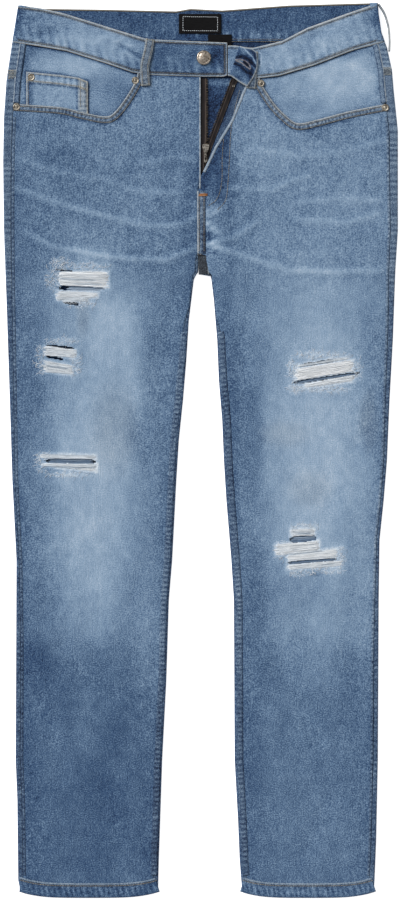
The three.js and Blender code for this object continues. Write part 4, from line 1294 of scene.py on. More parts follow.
def pocket_facing(side, name):
    """Ruled from a line under the pocket opening up to the waist seam."""
    edge_x = outseam(side, 489) - side * GAP
    columns = np.linspace(edge_x, POCKET_TOP[side] - side * 4, 90)
    lean = outseam(side, POCKET_SIDE) - side * GAP - edge_x
    low_x = columns + ease(30, 0, np.abs(columns - edge_x)) * lean
    low = np.stack([low_x, opening_height(side, low_x) - 9], -1)
    high = along_table(BAND_SEAM[side], columns, -GAP / 2)
    grid = ruled(low, high, 50)
    x, y = grid[:, :, 0], grid[:, :, 1]
    relief = 0.5 * mottle(x, y, 24, 71 + side) + 0.15 * mottle(x, y, 7, 72)
    if side < 0:
        shade = 0.52 + 0.11 * soft_patch(x, y, -148, 462, 50, 14)
        shade -= 0.06 * soft_patch(x, y, -95, 425, 22, 24)
        # Painted shadow along a fold at the top outer corner
        shade -= 0.13 * hump(distance_to([(-220, 440), (-212, 470), (-196, 484)], x, y), 7)
        # Painted shadow round the edge of the coin pocket
        border = [
            (COIN_LEFT, 408), (COIN_LEFT, 455), (-168, 451), (COIN_RIGHT, 443), (COIN_RIGHT, 402),
        ]
        shade -= 0.2 * hump(distance_to(border, x, y) - 0.5, 1.6)
    else:
        shade = 0.595 + 0.08 * soft_patch(x, y, 170, 448, 44, 26)
        shade -= 0.05 * soft_patch(x, y, 86, 426, 14, 20) + 0.07 * soft_patch(x, y, 120, 412, 30, 10)
        shade -= 0.1 * hump(distance_to([(176, 472), (200, 482), (216, 470), (214, 430)], x, y), 5)
    # Painted shadow under the waist seam, and below it painted shadow under the pocket opening's edge
    shade = shade + 0.03 * mottle(x, y, 14, 73) - 0.3 * hump(at(BAND_SEAM[side], x) - y, 2.2)
    shade -= 0.1 * hump(y - opening_height(side, x), 5)
    top = front_level(x, y) + UNDER_FRONT + DENIM / 2 + relief
    piece = flat_sheet(f"pocket_facing_{name}", x, y, top, DENIM, FACING, shade)
    return stand_in(piece, f"pocket_facing_{name}")


facing_left = pocket_facing(-1, "left")
facing_right = pocket_facing(1, "right")


def coin_folds(x, y):
    """Distance below the coin pocket's top, and smooth steps up to 1 on its hem and on its
    stitched right edge."""
    below = at(COIN_TOP, x) - y
    return below, ease(COIN_HEM + 1, COIN_HEM - 1, below), ease(13, 11.5, COIN_RIGHT - x)


def coin_height(x, y):
    """Top of the coin pocket: its hem and its stitched right edge are one layer thicker,
    which a steep smooth step leads up to, and the hem gathers in short beads."""
    _, hem, side = coin_folds(x, y)
    bead = 0.18 * puckers(x, 8, 81) * hem + 0.15 * puckers(y, 6, 82) * side * (1 - hem)
    top = front_level(x, y) + DENIM / 2 + 0.45 * np.maximum(hem, side) + bead
    return top + 0.12 * mottle(x, y, 9, 83)


def coin_pocket():
    """Ruled from the pocket opening up to its own top edge."""
    columns = np.linspace(COIN_LEFT, COIN_RIGHT, 66)
    low = np.stack([columns, opening_height(-1, columns) + GAP], -1)
    grid = ruled(low, along_table(COIN_TOP, columns), 44)
    x, y = grid[:, :, 0], grid[:, :, 1]
    below, hem, side = coin_folds(x, y)
    edge = np.minimum(below, np.minimum(x - COIN_LEFT, COIN_RIGHT - x))
    shade = 0.54 + 0.05 * soft_patch(x, y, -165, 425, 26, 14) + 0.05 * hem + 0.04 * side
    # Painted light and shade of the gathers on the hem and on the right edge
    shade += 0.09 * puckers(x, 8, 81) * hem + 0.09 * puckers(y, 6, 82) * side * (1 - hem)
    # Painted shadow: a line under the hem, and the stitched grooves on the right and just inside the
    # edges; a darker stripe by the left edge
    groove = 0.18 * hump(COIN_RIGHT - x - 13, 1.3) * (1 - hem)
    shade -= 0.2 * hump(below - COIN_HEM - 0.8, 1.3) + groove
    shade -= 0.12 * hump(x - COIN_LEFT - 5, 4) * (1 - hem) + 0.12 * hump(edge - 3, 1.2)
    pale = hump(edge, 1.3)
    tint = np.clip(0.75 * pale + 0.6 * hump(below - COIN_HEM + 1.5, 1.6) + 0.4 * side, 0, 1)
    shade = shade + pale * (0.66 - shade)
    piece = flat_sheet("coin_pocket", x, y, coin_height(x, y), DENIM, FADED, shade, tint)
    return stand_in(piece, "coin_pocket")


coin = coin_pocket()

# ---------------------------------------------------------------------------
# The open fly
# ---------------------------------------------------------------------------


def fly_layer(name, top, bottom, left, right, count, offset, thickness, material, shade_of):
    """A layer inside the fly, ruled from its left to its right line at each height; both
    lines are tables of (y, x)."""
    heights = np.linspace(top, bottom, 90)
    low = np.stack([at(left, heights), heights], -1)
    high = np.stack([at(right, heights), heights], -1)
    grid = ruled(low, high, count)
    x, y = grid[:, :, 0], grid[:, :, 1]
    top = front_level(x, y) + offset + thickness / 2
    shade, relief, tint = shade_of(x, y)
    piece = flat_sheet(name, x, y, top + relief, thickness, material, shade, tint)
    return stand_in(piece, name)


def shield_look(x, y):
    """Dark unworn denim, with a painted shadow beside the open edge and a painted highlight on its
    top folds.
    """
    shade = 0.17 + 0.11 * ease(400, 446, y) + 0.05 * mottle(x, y, 9, 91) + 0.12 * hump(y - 441, 3)
    shade -= 0.05 * ease(16, 8, x)
    relief = 0.3 * mottle(x, y, 13, 92, 2)
    return shade, relief, 0 * x


def facing_look(x, y):
    """Dark denim with a shadow beside the fly's edge."""
    shade = 0.3 + 0.06 * mottle(x, y, 7, 93) - 0.12 * hump(fly_right(y) - x - 11, 3)
    return shade, 0.2 * mottle(x, y, 9, 94), 0.2 + 0 * x


def tape_look(*lines):
    """A ribbed dark tape with rubbed lines along it, at these shares of its width."""

    def look(x, y):
        across = (x - x[:, :1]) / (x[:, -1:] - x[:, :1])
        rubbed = sum(hump(across - place, 0.09) for place in lines)
        return 0.2 + 0.1 * mottle(x, y, 1.6, 95, 6) + 0.4 * rubbed, 0 * x, 0 * x

    return look


shield = fly_layer(
    "fly_shield", 446.8, 331.2, [(447, -8.8)],
    [(447, 43.8), (400, 42.8), (352, 23.8), (331, 14.8)],
    40, 2 * UNDER_FRONT, DENIM, INSIDE, shield_look,
)
fly_facing = fly_layer(
    "fly_facing", 444.3, 333.2, [(444.5, 45.9), (362, 13.9), (347, 9.2), (333, 9.1)],
    [(444.5, 59.8), (430, 54.8), (396, 42.8), (363, 23.8), (348, 16.8), (333, 9.9)],
    12, UNDER_FRONT, DENIM, INSIDE, facing_look,
)
tape_left = fly_layer(
    "zip_tape_left", 446.3, 333.2, [(446.5, -5.8)],
    [(446.5, 7.9), (371, 7.9), (362, 5.1), (333, 5.1)],
    20, UNDER_FRONT, TAPE, TAPE_BROWN, tape_look(0.86),
)
tape_right = fly_layer(
    "zip_tape_right", 446.3, 333.2, [(446, 37.1), (369, 9.1), (361, 5.7), (333, 5.7)],
    [(446, 45.1), (362, 13.1), (347, 8.5), (333, 8.5)],
    16, UNDER_FRONT, TAPE, TAPE_BROWN, tape_look(0.3, 0.95),
)


def zip_teeth():
    """Small upright bars at an even pitch along the facing edges of both tapes."""
    pitch = 1.9
    rows = []
    for line, lean in (
        (np.array([(8.6, 444), (8.6, 372), (7.0, 366)]), 1),
        (np.array([(36.4, 444), (9.2, 372), (7.6, 366)]), -1),
    ):
        places = evenly(line, int(length_of(line) / pitch))
        z = front_level(places[:, 0], places[:, 1]) + UNDER_FRONT + TAPE / 2 + 0.15
        start = np.column_stack([places[:, 0] - lean * 1.6, places[:, 1], z])
        end = np.column_stack([places[:, 0] + lean * 0.7, places[:, 1], z + 0.2])
        rows.append(np.stack([start, end], 1))
    piece = tubes("zip_teeth", np.concatenate(rows), 0.5, TEETH)
    return piece


teeth = zip_teeth()

# ---------------------------------------------------------------------------
# Narrow folded edges and felled seams, laid along lines
# ---------------------------------------------------------------------------


def seam_strip(
    name, line, width, height, top_of, look, count=9, pucker=7.5, seed=1,
    material=None,
):
    """A low rounded strip along a line: its section is 1 minus the fourth power of the
    share across, and it rises and falls with the seam's gathers."""
    half = width / 2
    across = np.linspace(-1, 1, count)
    sides = np.stack([beside(line, half * q) for q in across], 1)
    x, y = sides[:, :, 0], sides[:, :, 1]
    run = np.linspace(0, length_of(line), len(line))[:, None]
    q = np.broadcast_to(across[None, :], x.shape)
    gather = puckers(np.broadcast_to(run, x.shape), pucker, seed)
    section = height * (1 - q**4) + 0.16 * gather * (1 - q**2)
    base = top_of(x, y)
    shade, tint = look(q, gather, x, y)
    upper = np.stack([x, y, base + section], -1)
    under = np.stack([x, y, base - 0.35 + 0 * x], -1)
    piece = closed_sheet(name, upper, under, material or FADED, shade, tint)
    return piece


def doubled_edge(base, bead=0.06, pale=0.7):
    """Shades of a doubled edge: a pale worn fold on one side, two stitched grooves in painted shadow,
    a painted bead of light and shade at each gather between them, and a painted shadow line under the
    other side."""

    def look(q, gather, x, y):
        fold = hump(q + 0.86, 0.13)
        groove = hump(q + 0.5, 0.14) + hump(q - 0.6, 0.14)
        shade = base + bead * gather * hump(q - 0.05, 0.5) - 0.13 * groove
        shade = shade + 0.04 * mottle(x, y, 3, 101)
        shade = shade + fold * (pale - shade) - 0.28 * hump(q - 1.0, 0.12)
        return shade, np.clip(0.6 * fold + 0.5 * groove + 0.25, 0, 1)

    return look


def felled(bead):
    """Shades of a felled seam: a painted shadow in the groove at its foot and painted light and shade
    beading along its back.
    """

    def look(q, gather, x, y):
        shade = denim_shade(x, y) + 0.01 - 0.03 + bead * gather * hump(q, 0.8)
        shade = shade + 0.03 * mottle(x, y, 5, 103)
        shade -= 0.14 * hump(q - 0.95, 0.25) + 0.05 * hump(q + 0.95, 0.2)
        return shade, np.full(q.shape, 0.22)

    return look


ON_FRONT = raised(leg_top, 0.05)
POCKET_BAND = 8.6
opening_left, opening_right = pocket_opening(-1), pocket_opening(1)
edge_strips = [
    seam_strip(
        "pocket_edge_left", beside(opening_left, -POCKET_BAND / 2 + 0.6)[::-1], POCKET_BAND, 0.7,
        ON_FRONT, doubled_edge(0.42, 0.15, 0.72), 15, 5.0, 111,
    ),
    seam_strip(
        "pocket_edge_right", beside(opening_right, POCKET_BAND / 2 - 0.6), POCKET_BAND, 0.7,
        ON_FRONT, doubled_edge(0.46, 0.15, 0.72), 15, 5.0, 113,
    ),
]


def leg_line(function, side, high, low, shift=0.0, spacing=1.5):
    """A line down a leg: the place that the function gives at each height, moved sideways."""
    y = np.linspace(high, low, int((high - low) / spacing))
    return np.stack([function(side, y) + shift, y], -1)


for side, name in SIDES:
    edge_strips.append(seam_strip(
        f"inseam_fell_{name}", leg_line(inseam, side, 142, HEM_TOP + 2, -side * 0.6), 8.2, 0.6,
        ON_FRONT, felled(0.17), 9, 5.6, 121 + side,
    ))
    edge_strips.append(seam_strip(
        f"outseam_ridge_{name}", leg_line(outseam, side, 400, HEM_TOP + 2, -side * 1.9), 3.4, 0.4,
        ON_FRONT, felled(0.15), 7, 5.6, 131 + side,
    ))


def hem_look(base):
    """Roping: slanted light and dark ridges between the fold and its stitched line, with a
    pale rubbed line along the top and a darker one beside it."""

    def look(q, gather, x, y):
        rope = np.sin(2 * np.pi * (x / 6.4 + q * 0.35) + 1.8 * mottle(x, y, 16, 141))
        shade = base + 0.085 * rope * hump(q + 0.15, 0.6) + 0.05 * mottle(x, y, 5, 142)
        shade -= 0.14 * hump(q - 0.62, 0.1) + 0.1 * hump(q + 0.95, 0.1)
        pale = hump(q - 0.84, 0.08)
        shade = shade + pale * (0.62 - shade)
        return shade, np.clip(0.5 * pale + 0.5 * hump(q - 0.62, 0.15), 0, 1)

    return look


def outseam_look(side, base):
    """Shades of the fold above the side seam: pale outside, a painted shadow in the groove on each
    side, and painted light and shade of its gathers.
    """

    def look(q, gather, x, y):
        out = side * q
        shade = base + 0.05 * gather + 0.22 * hump(out - 0.85, 0.13)
        shade = shade - 0.2 * hump(out - 0.5, 0.14) - 0.22 * hump(out + 0.9, 0.13)
        return shade, 0.2 + 0.4 * hump(out - 0.85, 0.15)

    return look


def crotch_look(q, gather, x, y):
    """A seam with two grooves in painted shadow, painted light and shade of its gathers, a pale fold
    on its left, painted shadow low on its right and a painted shadow line along its right edge.
    """
    shade = 0.42 + 0.09 * gather * hump(q, 0.6) + 0.04 * mottle(x, y, 4, 151)
    shade = shade - 0.12 * (hump(q - 0.5, 0.16) + hump(q + 0.5, 0.16)) - 0.2 * hump(q - 1.0, 0.14)
    shade = shade - 0.16 * ease(285, 250, y) * ease(-0.2, 0.5, q) + 0.3 * hump(q + 0.86, 0.12)
    return shade, 0.3 + 0.4 * hump(q + 0.86, 0.12)


def crotch_back_look(q, gather, x, y):
    """Gathered cloth under the crotch, painted dark as shade, with painted light and dark ribs, a
    painted shadow line along its top and one pale edge.
    """
    shade = 0.22 + 0.05 * np.sin(x * 2.4) + 0.05 * mottle(x, y, 3, 155)
    return shade + 0.42 * hump(q - 0.86, 0.1) - 0.2 * hump(y - 234, 1.2), 0.85 + 0 * q


def yoke_look(q, gather, x, y):
    """A seam that is rubbed pale along both of its edges."""
    shade = 0.4 + 0.22 * (hump(q - 0.86, 0.12) + hump(q + 0.86, 0.12))
    return shade + 0.03 * mottle(x, y, 4, 157), 0.8 + 0 * q


def seat_top(x, y):
    """Upper face of the folded cloth at the sides of the seat."""
    return np.full(x.shape, SEAT_RISE + FOLD_LEVEL + DENIM / 2)


HEM_DEEP = 18
for side, name in SIDES:
    ends = sorted((inner_edge(side, -520) + side * 1.0, outer_edge(side, -520) - side * 1.0))
    x = np.linspace(*ends, 150)
    y = HEM_CORNER - hem_bow(side, x) + HEM_DEEP / 2 + 0.2
    edge_strips.append(seam_strip(
        f"hem_{name}", np.stack([x, y], -1), HEM_DEEP, 0.8, raised(leg_top, 0.5),
        hem_look(0.34 if side < 0 else 0.4), 17, 9, 143 + side,
    ))

for side, name in SIDES:
    y = np.linspace(488 if side < 0 else 490, 417, 50)
    edge_strips.append(seam_strip(
        f"outseam_fold_{name}", np.stack([outseam(side, y) - side * 2.6, y], -1), 7.4, 0.5,
        raised(seat_top, 0.1), outseam_look(side, 0.42 if side < 0 else 0.47), 13, 7, 161 + side,
    ))

FLY_FOLD = [(56.2, 441), (51, 430), (37.6, 396.5), (17.2, 363), (10.2, 348), (3.4, 334)]
edge_strips += [
    seam_strip(
        "crotch_seam", evenly(np.array([(1.0, 311), (1.2, 280), (1.4, 236)]), 70), 10.4, 0.6,
        ON_FRONT, crotch_look, 13, 6, 152,
    ),
    seam_strip(
        "crotch_back_right", evenly(np.array([(3.6, 235.4), (4.2, 211)]), 24), 12.8, 0.5,
        lambda x, y: floor_level(y) + FOLD_LEVEL + DENIM / 2 + 0.05, crotch_back_look, 15, 5, 158,
    ),
    seam_strip(
        "fly_fold_right", beside(evenly(np.array(FLY_FOLD), 110), 1.0), 3.2, 0.9, ON_FRONT,
        lambda q, gather, x, y: (0.63 + 0.02 * gather - 0.1 * hump(q + 0.9, 0.3), 0.35 + 0 * q),
        7, 9, 153,
    ),
    seam_strip(
        "fly_fold_left", np.stack([np.full(110, -0.6), np.linspace(447, 314, 110)], -1), 1.8,
        0.5, ON_FRONT, lambda q, gather, x, y: (0.62 + 0.05 * gather, 0.5 + 0 * q), 5, 9, 154,
    ),
]
for side, name in SIDES:
    middle = 452 if side < 0 else 455
    high = middle + 3
    x = np.linspace(outer_edge(side, high) - side * 0.6, outseam(side, high) + side * 1.0, 14)
    edge_strips.append(seam_strip(
        f"yoke_fell_{name}", np.stack([x, np.full(14, middle)], -1)[::-side], 9.5, 0.7,
        seat_top, yoke_look, 11, 8, 156, BACKING,
    ))

# ---------------------------------------------------------------------------
# The turned-back buttonhole end, belt loops, back pockets and labels
# ---------------------------------------------------------------------------

END_HIGH = [(47.4, 484.8), (56, 482.4), (62, 481), (67, 477)]
END_LOW = [(33.6, 450.4), (39, 446.6), (47, 440.8), (55.9, 435.6)]
UPPER_LIP = [(42, 467.6), (49, 467.8), (56, 464.8), (59.4, 459.6), (59.4, 456.6)]
LOWER_LIP = [(42.6, 466.4), (48.6, 464), (54.6, 459.6), (59, 456.4)]


def buttonhole_end():
    """Ruled from its low to its high edge and bowed to its turned fold. Soft folds run across it,
    each a bell curve away from its line: a painted highlight on the ridges, painted shadow in the
    hollows on both sides of the buttonhole."""
    count = 40
    high, low = evenly(spline(END_HIGH, 0.5), count), evenly(spline(END_LOW, 0.5), count)
    grid = ruled(low, high, 52)
    u = np.linspace(0, 1, count)[:, None]
    v = np.linspace(0, 1, 52)[None, :]
    grid[:, :, 0] += 6.0 * u * np.sin(np.pi * v) - 2.6 * (1 - u) * np.sin(2.2 * v) * v
    x, y = grid[:, :, 0], grid[:, :, 1]
    edge = np.minimum(np.minimum(u, 1 - u) * 27, np.minimum(v, 1 - v) * 40)
    lips = np.minimum(distance_to(UPPER_LIP, x, y), distance_to(LOWER_LIP, x, y))
    relief = 0.9 * hump(lips, 1.3) + 0.3 * mottle(x, y, 6, 161) - 0.7 * hump(edge, 1.0)
    shade = 0.27 + 0.07 * mottle(x, y, 5, 162)
    for line, width, rise, paler in (
        ([(52, 482), (57, 476), (63, 470.5), (66, 463)], 1.1, 0.9, 0.36),
        ([(64, 480), (66, 470)], 3.2, -0.6, -0.16),
        ([(43, 470.4), (51, 471.8), (59, 467), (67, 458.4)], 1.9, -1.2, -0.24),
        ([(41, 463), (48, 460.4), (55, 453), (62, 450)], 1.8, -1.1, -0.22),
        ([(49, 482), (51, 477)], 2.4, 0.3, 0.2),
        ([(40, 455), (50, 450), (54, 443)], 4.0, 0.5, 0.13),
        ([(61, 455), (60, 446)], 3.0, -0.5, -0.12),
        ([(62, 460), (68, 452)], 1.2, 0.5, 0.14),
    ):
        bell = hump(distance_to(line, x, y), width)
        relief += rise * bell
        shade += paler * bell
    pale = hump(edge - 0.4, 1.1) * (1 - 0.6 * ease(0.2, 0.0, u))
    shade = shade + pale * (0.68 - shade) + 0.3 * hump(lips, 0.9)
    shade += 0.16 * hump(distance_to([(45, 467), (50, 465.8)], x, y), 1.6)
    # Painted shadow in the buttonhole's open slit
    shade -= 0.5 * hump(distance_to([(52.5, 465.2), (57, 460.6)], x, y), 1.6)
    tint = np.clip(0.7 * pale + 0.6 * hump(lips, 1.1), 0, 1)
    top = front_level(x, y) + TURNED_OFFSET + BAND / 2 - 0.6
    drop = 5.6 * ease(0.12, 0, u) ** 2
    piece = flat_sheet("buttonhole_end", x, y, top + relief - drop, BAND - 0.4, INSIDE, shade, tint)
    return stand_in(piece, "waistband_buttonhole_end")


end = buttonhole_end()


def loop_places(line, spacing, across):
    """Grid of places along a loop's line, at these shares of half its width."""
    line = spline(line, spacing)
    sides = np.stack([beside(line, LOOP_WIDTH / 2 * q) for q in across], 1)
    return line, sides[:, :, 0], sides[:, :, 1]


def belt_loop(name, line, rise, seed):
    """A strip over the waistband: both ends are tacked down and it stands off between
    them by a fourth-power arch; its edges are stitched and rubbed pale."""
    across = np.linspace(-1, 1, 9)
    line, x, y = loop_places(line, 0.9, across)
    share = np.linspace(0, 1, len(line))[:, None]
    q = np.broadcast_to(across[None, :], x.shape)
    arch = rise * (1 - np.abs(2 * share - 1) ** 4)
    gather = puckers(np.broadcast_to(share * length_of(line), x.shape), 9, seed)
    # Hides the node, whose place the piece takes.
    top = band_top(x, y) + LOOP + arch + 0.25 * gather - 0.35 * q**4
    top = top + 0.2 * mottle(x, y, 6, seed + 2)
    tack = ease(0.06, 0.02, share) + ease(0.94, 0.98, share)
    pale = hump(np.abs(q) - 0.9, 0.16)
    groove = hump(np.abs(q) - 0.6, 0.14)
    # Painted shadow in the stitched grooves and painted light and shade of the gathers
    shade = 0.44 + 0.05 * gather + 0.05 * mottle(x, y, 5, seed + 3) - 0.08 * groove
    shade = shade + pale * (0.62 - shade) + 0.08 * tack
    tint = np.clip(0.45 + 0.4 * pale + 0.4 * tack, 0, 1)
    piece = flat_sheet(name, x, y, top, LOOP, WAIST, shade, tint)
    return stand_in(piece, name)


def hidden_strip(name, line):
    """A plain strip that lies flat under the back."""
    _, x, y = loop_places(line, 4, (-1, -0.4, 0.4, 1))
    top = PATCH_TOP + 0 * x
    piece = flat_sheet(name, x, y, top, DENIM - 0.1, WAIST, 0.4 + 0 * x, 0.3 + 0 * x)
    return stand_in(piece, name)


PATCH_TOP = 1.15  # upper face of what lies flat under the back
LEFT_LOOP = [(-60.4, 493), (-62.4, 480), (-66.6, 462), (-66.6, 450), (-65.6, 437)]
LEFT_LOOP_RISE = 1.5
loops = [
    belt_loop("belt_loop_front_left", LEFT_LOOP, LEFT_LOOP_RISE, 171),
    belt_loop("belt_loop_front_right", [(63.4, 478), (63, 462), (60.5, 434)], 0.4, 175),
    hidden_strip("belt_loop_back_left", [(-188, 529), (-188, 477)]),
    hidden_strip("belt_loop_back_middle", [(6, 528), (6, 476)]),
]

SIDE_LOOP = [(213.6, 535.5), (220.6, 524), (225.4, 508), (226.8, 492), (226.6, 479)]


def side_loop():
    """The loop at the right side, standing on its edge and bowed away from the band."""
    line = spline(SIDE_LOOP, 0.9)
    levels = np.linspace(0.4, 9.0, 12)
    z = np.broadcast_to(levels[None, :], (len(line), 12))
    upper, under = (
        np.stack([np.repeat(face[:, :1], 12, 1), np.repeat(face[:, 1:], 12, 1), z], -1)
        for face in (beside(line, 0.9), beside(line, -0.9))
    )
    shade = 0.5 + 0.1 * mottle(upper[:, :, 1], z, 5, 181) + 0.12 * ease(8, 9, z)
    piece = closed_sheet("belt_loop_right_side", upper, under, WAIST, shade, 0.7 + 0 * shade)
    return stand_in(piece, "belt_loop_right_side")


loops.append(side_loop())


def back_pocket(side, name):
    """A plain patch under the seat, ruled between its two upright edges, with its foot
    drawn down to a point in the middle."""
    left = spline([(38, 388), (44, 322), (50, 262)], 4)
    right = evenly(spline([(186, 400), (184, 336), (182, 272)], 4), len(left))
    grid = ruled(left, right, 30)
    x, y = grid[:, :, 0], grid[:, :, 1]
    y = y - 18 * ease(300, 262, y) * (1 - np.abs(2 * (x - 50) / 132 - 1).clip(0, 1))
    top = PATCH_TOP + 0 * x
    piece = flat_sheet(
        f"back_pocket_{name}", side * x, y, top, DENIM - 0.1, BACKING, 0.4 + 0 * x, 0 * x
    )
    return stand_in(piece, f"back_pocket_{name}")


pockets = [back_pocket(-1, "left"), back_pocket(1, "right")]

LABEL_BASE = SEAT_RISE + BAND + GAP
LABEL_WAVE = 0.25


def label(name, left, right, bottom, top):
    """A woven label, gently waved by one sine across it."""
    x = np.broadcast_to(np.linspace(left, right, 40)[None, :], (24, 40))
    y = np.broadcast_to(np.linspace(top, bottom, 24)[:, None], (24, 40))
    wave = LABEL_WAVE * np.sin(x / 9) + 0.15 * mottle(x, y, 9, 191)
    piece = flat_sheet(name, x, y, LABEL_BASE + LABEL + 0.5 + wave, LABEL, BLACK, 0 * x)
    return stand_in(piece, name)


labels = [label("waist_label", -26, 25, 500, 523.6), label("size_tab", 9, 37.5, 484, 499)]

# ---------------------------------------------------------------------------
# Stitches
# ---------------------------------------------------------------------------


def stitch_paths(line, top_of, pitch=3.0, share=0.72, lift=0.25):
    """One short path for each stitch at an even pitch: it rises out of the cloth, runs
    along it and goes back in."""
    line = np.array(line, float)
    count = max(int(length_of(line) / pitch), 2)
    marks = evenly(line, count + 1)
    start, step = marks[:-1], np.diff(marks, axis=0)
    share_along = np.array([0.0, 0.2, 0.8, 1.0])[None, :, None] * share
    places = start[:, None, :] + step[:, None, :] * share_along
    z = top_of(places[..., 0], places[..., 1]) + np.array([-0.25, lift, lift, -0.25])[None, :]
    return np.concatenate([places, z[..., None]], -1)


def stitch_piece(name, paths, radius, material, seed, base):
    """Stitches as one piece, each a little paler or darker than the base."""
    paths = np.concatenate(paths)
    shade = base + 0.16 * np.random.default_rng(seed).uniform(-1, 1, len(paths))
    return tubes(name, paths, radius, material, 4, shade)


def on_loop(x, y):
    """Upper face of the front left belt loop, by the same fourth-power arch."""
    share = np.clip((LEFT_LOOP[0][1] - y) / (LEFT_LOOP[0][1] - LEFT_LOOP[-1][1]), 0, 1)
    arch = LEFT_LOOP_RISE * (1 - np.abs(2 * share - 1) ** 4)
    return band_top(x, y) + LOOP + arch - 0.05


def on_back(x, y):
    """Just above the inside of the waistband's back."""
    return np.full(x.shape, SEAT_RISE + BAND + 0.15)


def bartack_paths():
    """Five long stitches side by side, each arched over the crotch seam."""
    y = np.linspace(305, 307.4, 5)
    start, stop = np.stack([np.full(5, -2.6), y], -1), np.stack([np.full(5, 8.4), y + 0.3], -1)
    places = ruled(start, stop, 5)
    z = leg_top(places[..., 0], places[..., 1]) + np.array([0.2, 0.95, 1.05, 0.95, 0.2])
    return np.concatenate([places, z[..., None]], -1)


ON_LEG, ON_FLY, ON_HEM = raised(leg_top, 0.75), raised(leg_top, 0.15), raised(leg_top, 1.2)
ON_BAND, ON_COIN = raised(band_top, 0.05), raised(coin_height, 0.05)
ON_SIDE = raised(seat_top, 0.6)
FLY_STITCHES = (
    [(47, 432), (41, 408), (36.5, 384), (34.6, 350), (33, 322), (30, 300), (20, 288)],
    [(27.5, 373), (26, 350), (25.4, 322), (20, 302), (9, 293)],
)
tan_rows, brown_rows = [], []  # each row is (line, level, pitch)
for line, turn in ((opening_left, -1), (opening_right, 1)):
    tan_rows += [(beside(line, turn * inset), ON_LEG, 2.8) for inset in (2.0, 6.9)]
for side, _ in SIDES:
    x = np.linspace(inner_edge(side, -514) + side * 2, outer_edge(side, -514) - side * 2, 60)
    y = HEM_CORNER - hem_bow(side, x) + 14.6
    tan_rows.append((np.stack([x, y], -1), ON_HEM, 3.0))
tan_rows += [([(x, 309), (x, 238)], ON_LEG, 2.8) for x in (-1.6, 4.2)]
tan_rows += [(spline(line), ON_FLY, 3.0) for line in FLY_STITCHES]
for side, x in (
    (-1, np.linspace(band_side(-1, 510) + 3, 29, 160)),
    (1, np.linspace(72, band_side(1, 510) - 3, 120)),
):
    brown_rows.append((along_table(BAND_SEAM[side], x, 2.9), ON_BAND, 3.0))
    tan_rows.append((along_table(BAND_TOP[side], x, -2.6), ON_BAND, 3.0))
brown_rows.append(([(29.2, 486), (29.2, 451.5)], ON_BAND, 2.6))
x = np.linspace(COIN_LEFT + 2, COIN_RIGHT - 2, 40)
tan_rows += [
    (along_table(COIN_TOP, x, -inset), ON_COIN, 2.8) for inset in (1.8, COIN_HEM - 1.6)
]
tan_rows += [
    ([(x, at(COIN_TOP, x) - 3), (x, 411)], ON_COIN, 2.8)
    for x in (COIN_LEFT + 2.2, COIN_RIGHT - 2.2, COIN_RIGHT - 9)
]
loop_middle = spline(LEFT_LOOP)
tan_rows += [(beside(loop_middle, q * LOOP_WIDTH / 2), on_loop, 2.8) for q in (-0.62, 0.62)]
tan_rows += [([(-231, y), (-223, y)], ON_SIDE, 2.8) for y in (446.5, 452.5, 455.5)]

# The rows that hold the waistband's back to the yoke, seen from inside
x = np.linspace(38, 100, 30)
brown_rows += [(np.stack([x, np.full(30, y)], -1), on_back, 2.6) for y in (493.4, 490.6)]
brown_rows.append((along_table(BACK_TOP, np.linspace(-206, 204, 200), -1.6), on_back, 2.8))

sewing = [
    stitch_piece("tan_stitches", [stitch_paths(*r) for r in tan_rows], 0.38, TAN, 201, 0.52),
    stitch_piece("brown_stitches", [stitch_paths(*r) for r in brown_rows], 0.38, TAN, 202, 0.32),
    stitch_piece("bartack", [bartack_paths()], 0.34, ORANGE, 203, 0.45),
]


def whipped_buttonhole():
    """Close stitches at a right angle to both lips of the buttonhole."""
    paths = []
    for lip in (UPPER_LIP, LOWER_LIP):
        line = evenly(spline(lip), 26)
        inner, outer = beside(line, -0.7), beside(line, 0.7)
        share = np.array([0.0, 0.3, 0.7, 1.0])[None, :, None]
        places = inner[:, None] * (1 - share) + outer[:, None] * share
        z = front_level(places[..., 0], places[..., 1]) + TURNED_OFFSET + BAND / 2
        z = z + np.array([-0.5, 0.75, 0.75, -0.4])[None, :]
        paths.append(np.concatenate([places, z[..., None]], -1))
    return stitch_piece("buttonhole_stitches", paths, 0.3, WHIPPED, 204, 0.58)


def label_stitches():
    """Dashed square-cornered rectangle just inside the label's edge."""
    corners = [(-21, 503.6), (-21, 520.4), (20.5, 519.8), (20.5, 503.2), (-21, 503.6)]
    top = LABEL_BASE + LABEL + 0.6
    paths = [
        stitch_paths([a, b], lambda x, y: top + LABEL_WAVE * np.sin(x / 9), 2.4, 0.6)
        for a, b in zip(corners[:-1], corners[1:])
    ]
    return stitch_piece("label_stitches", paths, 0.32, WEFT, 205, 0.75)


sewing += [whipped_buttonhole(), label_stitches()]

# Piping along the top of the waistband's back
x = np.linspace(-207, 205, 300)
pipe = np.stack([x, at(BACK_TOP, x) - 0.9, np.full(300, SEAT_RISE + BAND + 0.1)], -1)[None]
piping = tubes("waistband_piping", pipe, 1.0, TAN, 6, np.full((1, 300), 0.42))

# ---------------------------------------------------------------------------
# Loose weft in the rips
# ---------------------------------------------------------------------------

THREAD = 0.34
THREAD_PITCH = 0.6


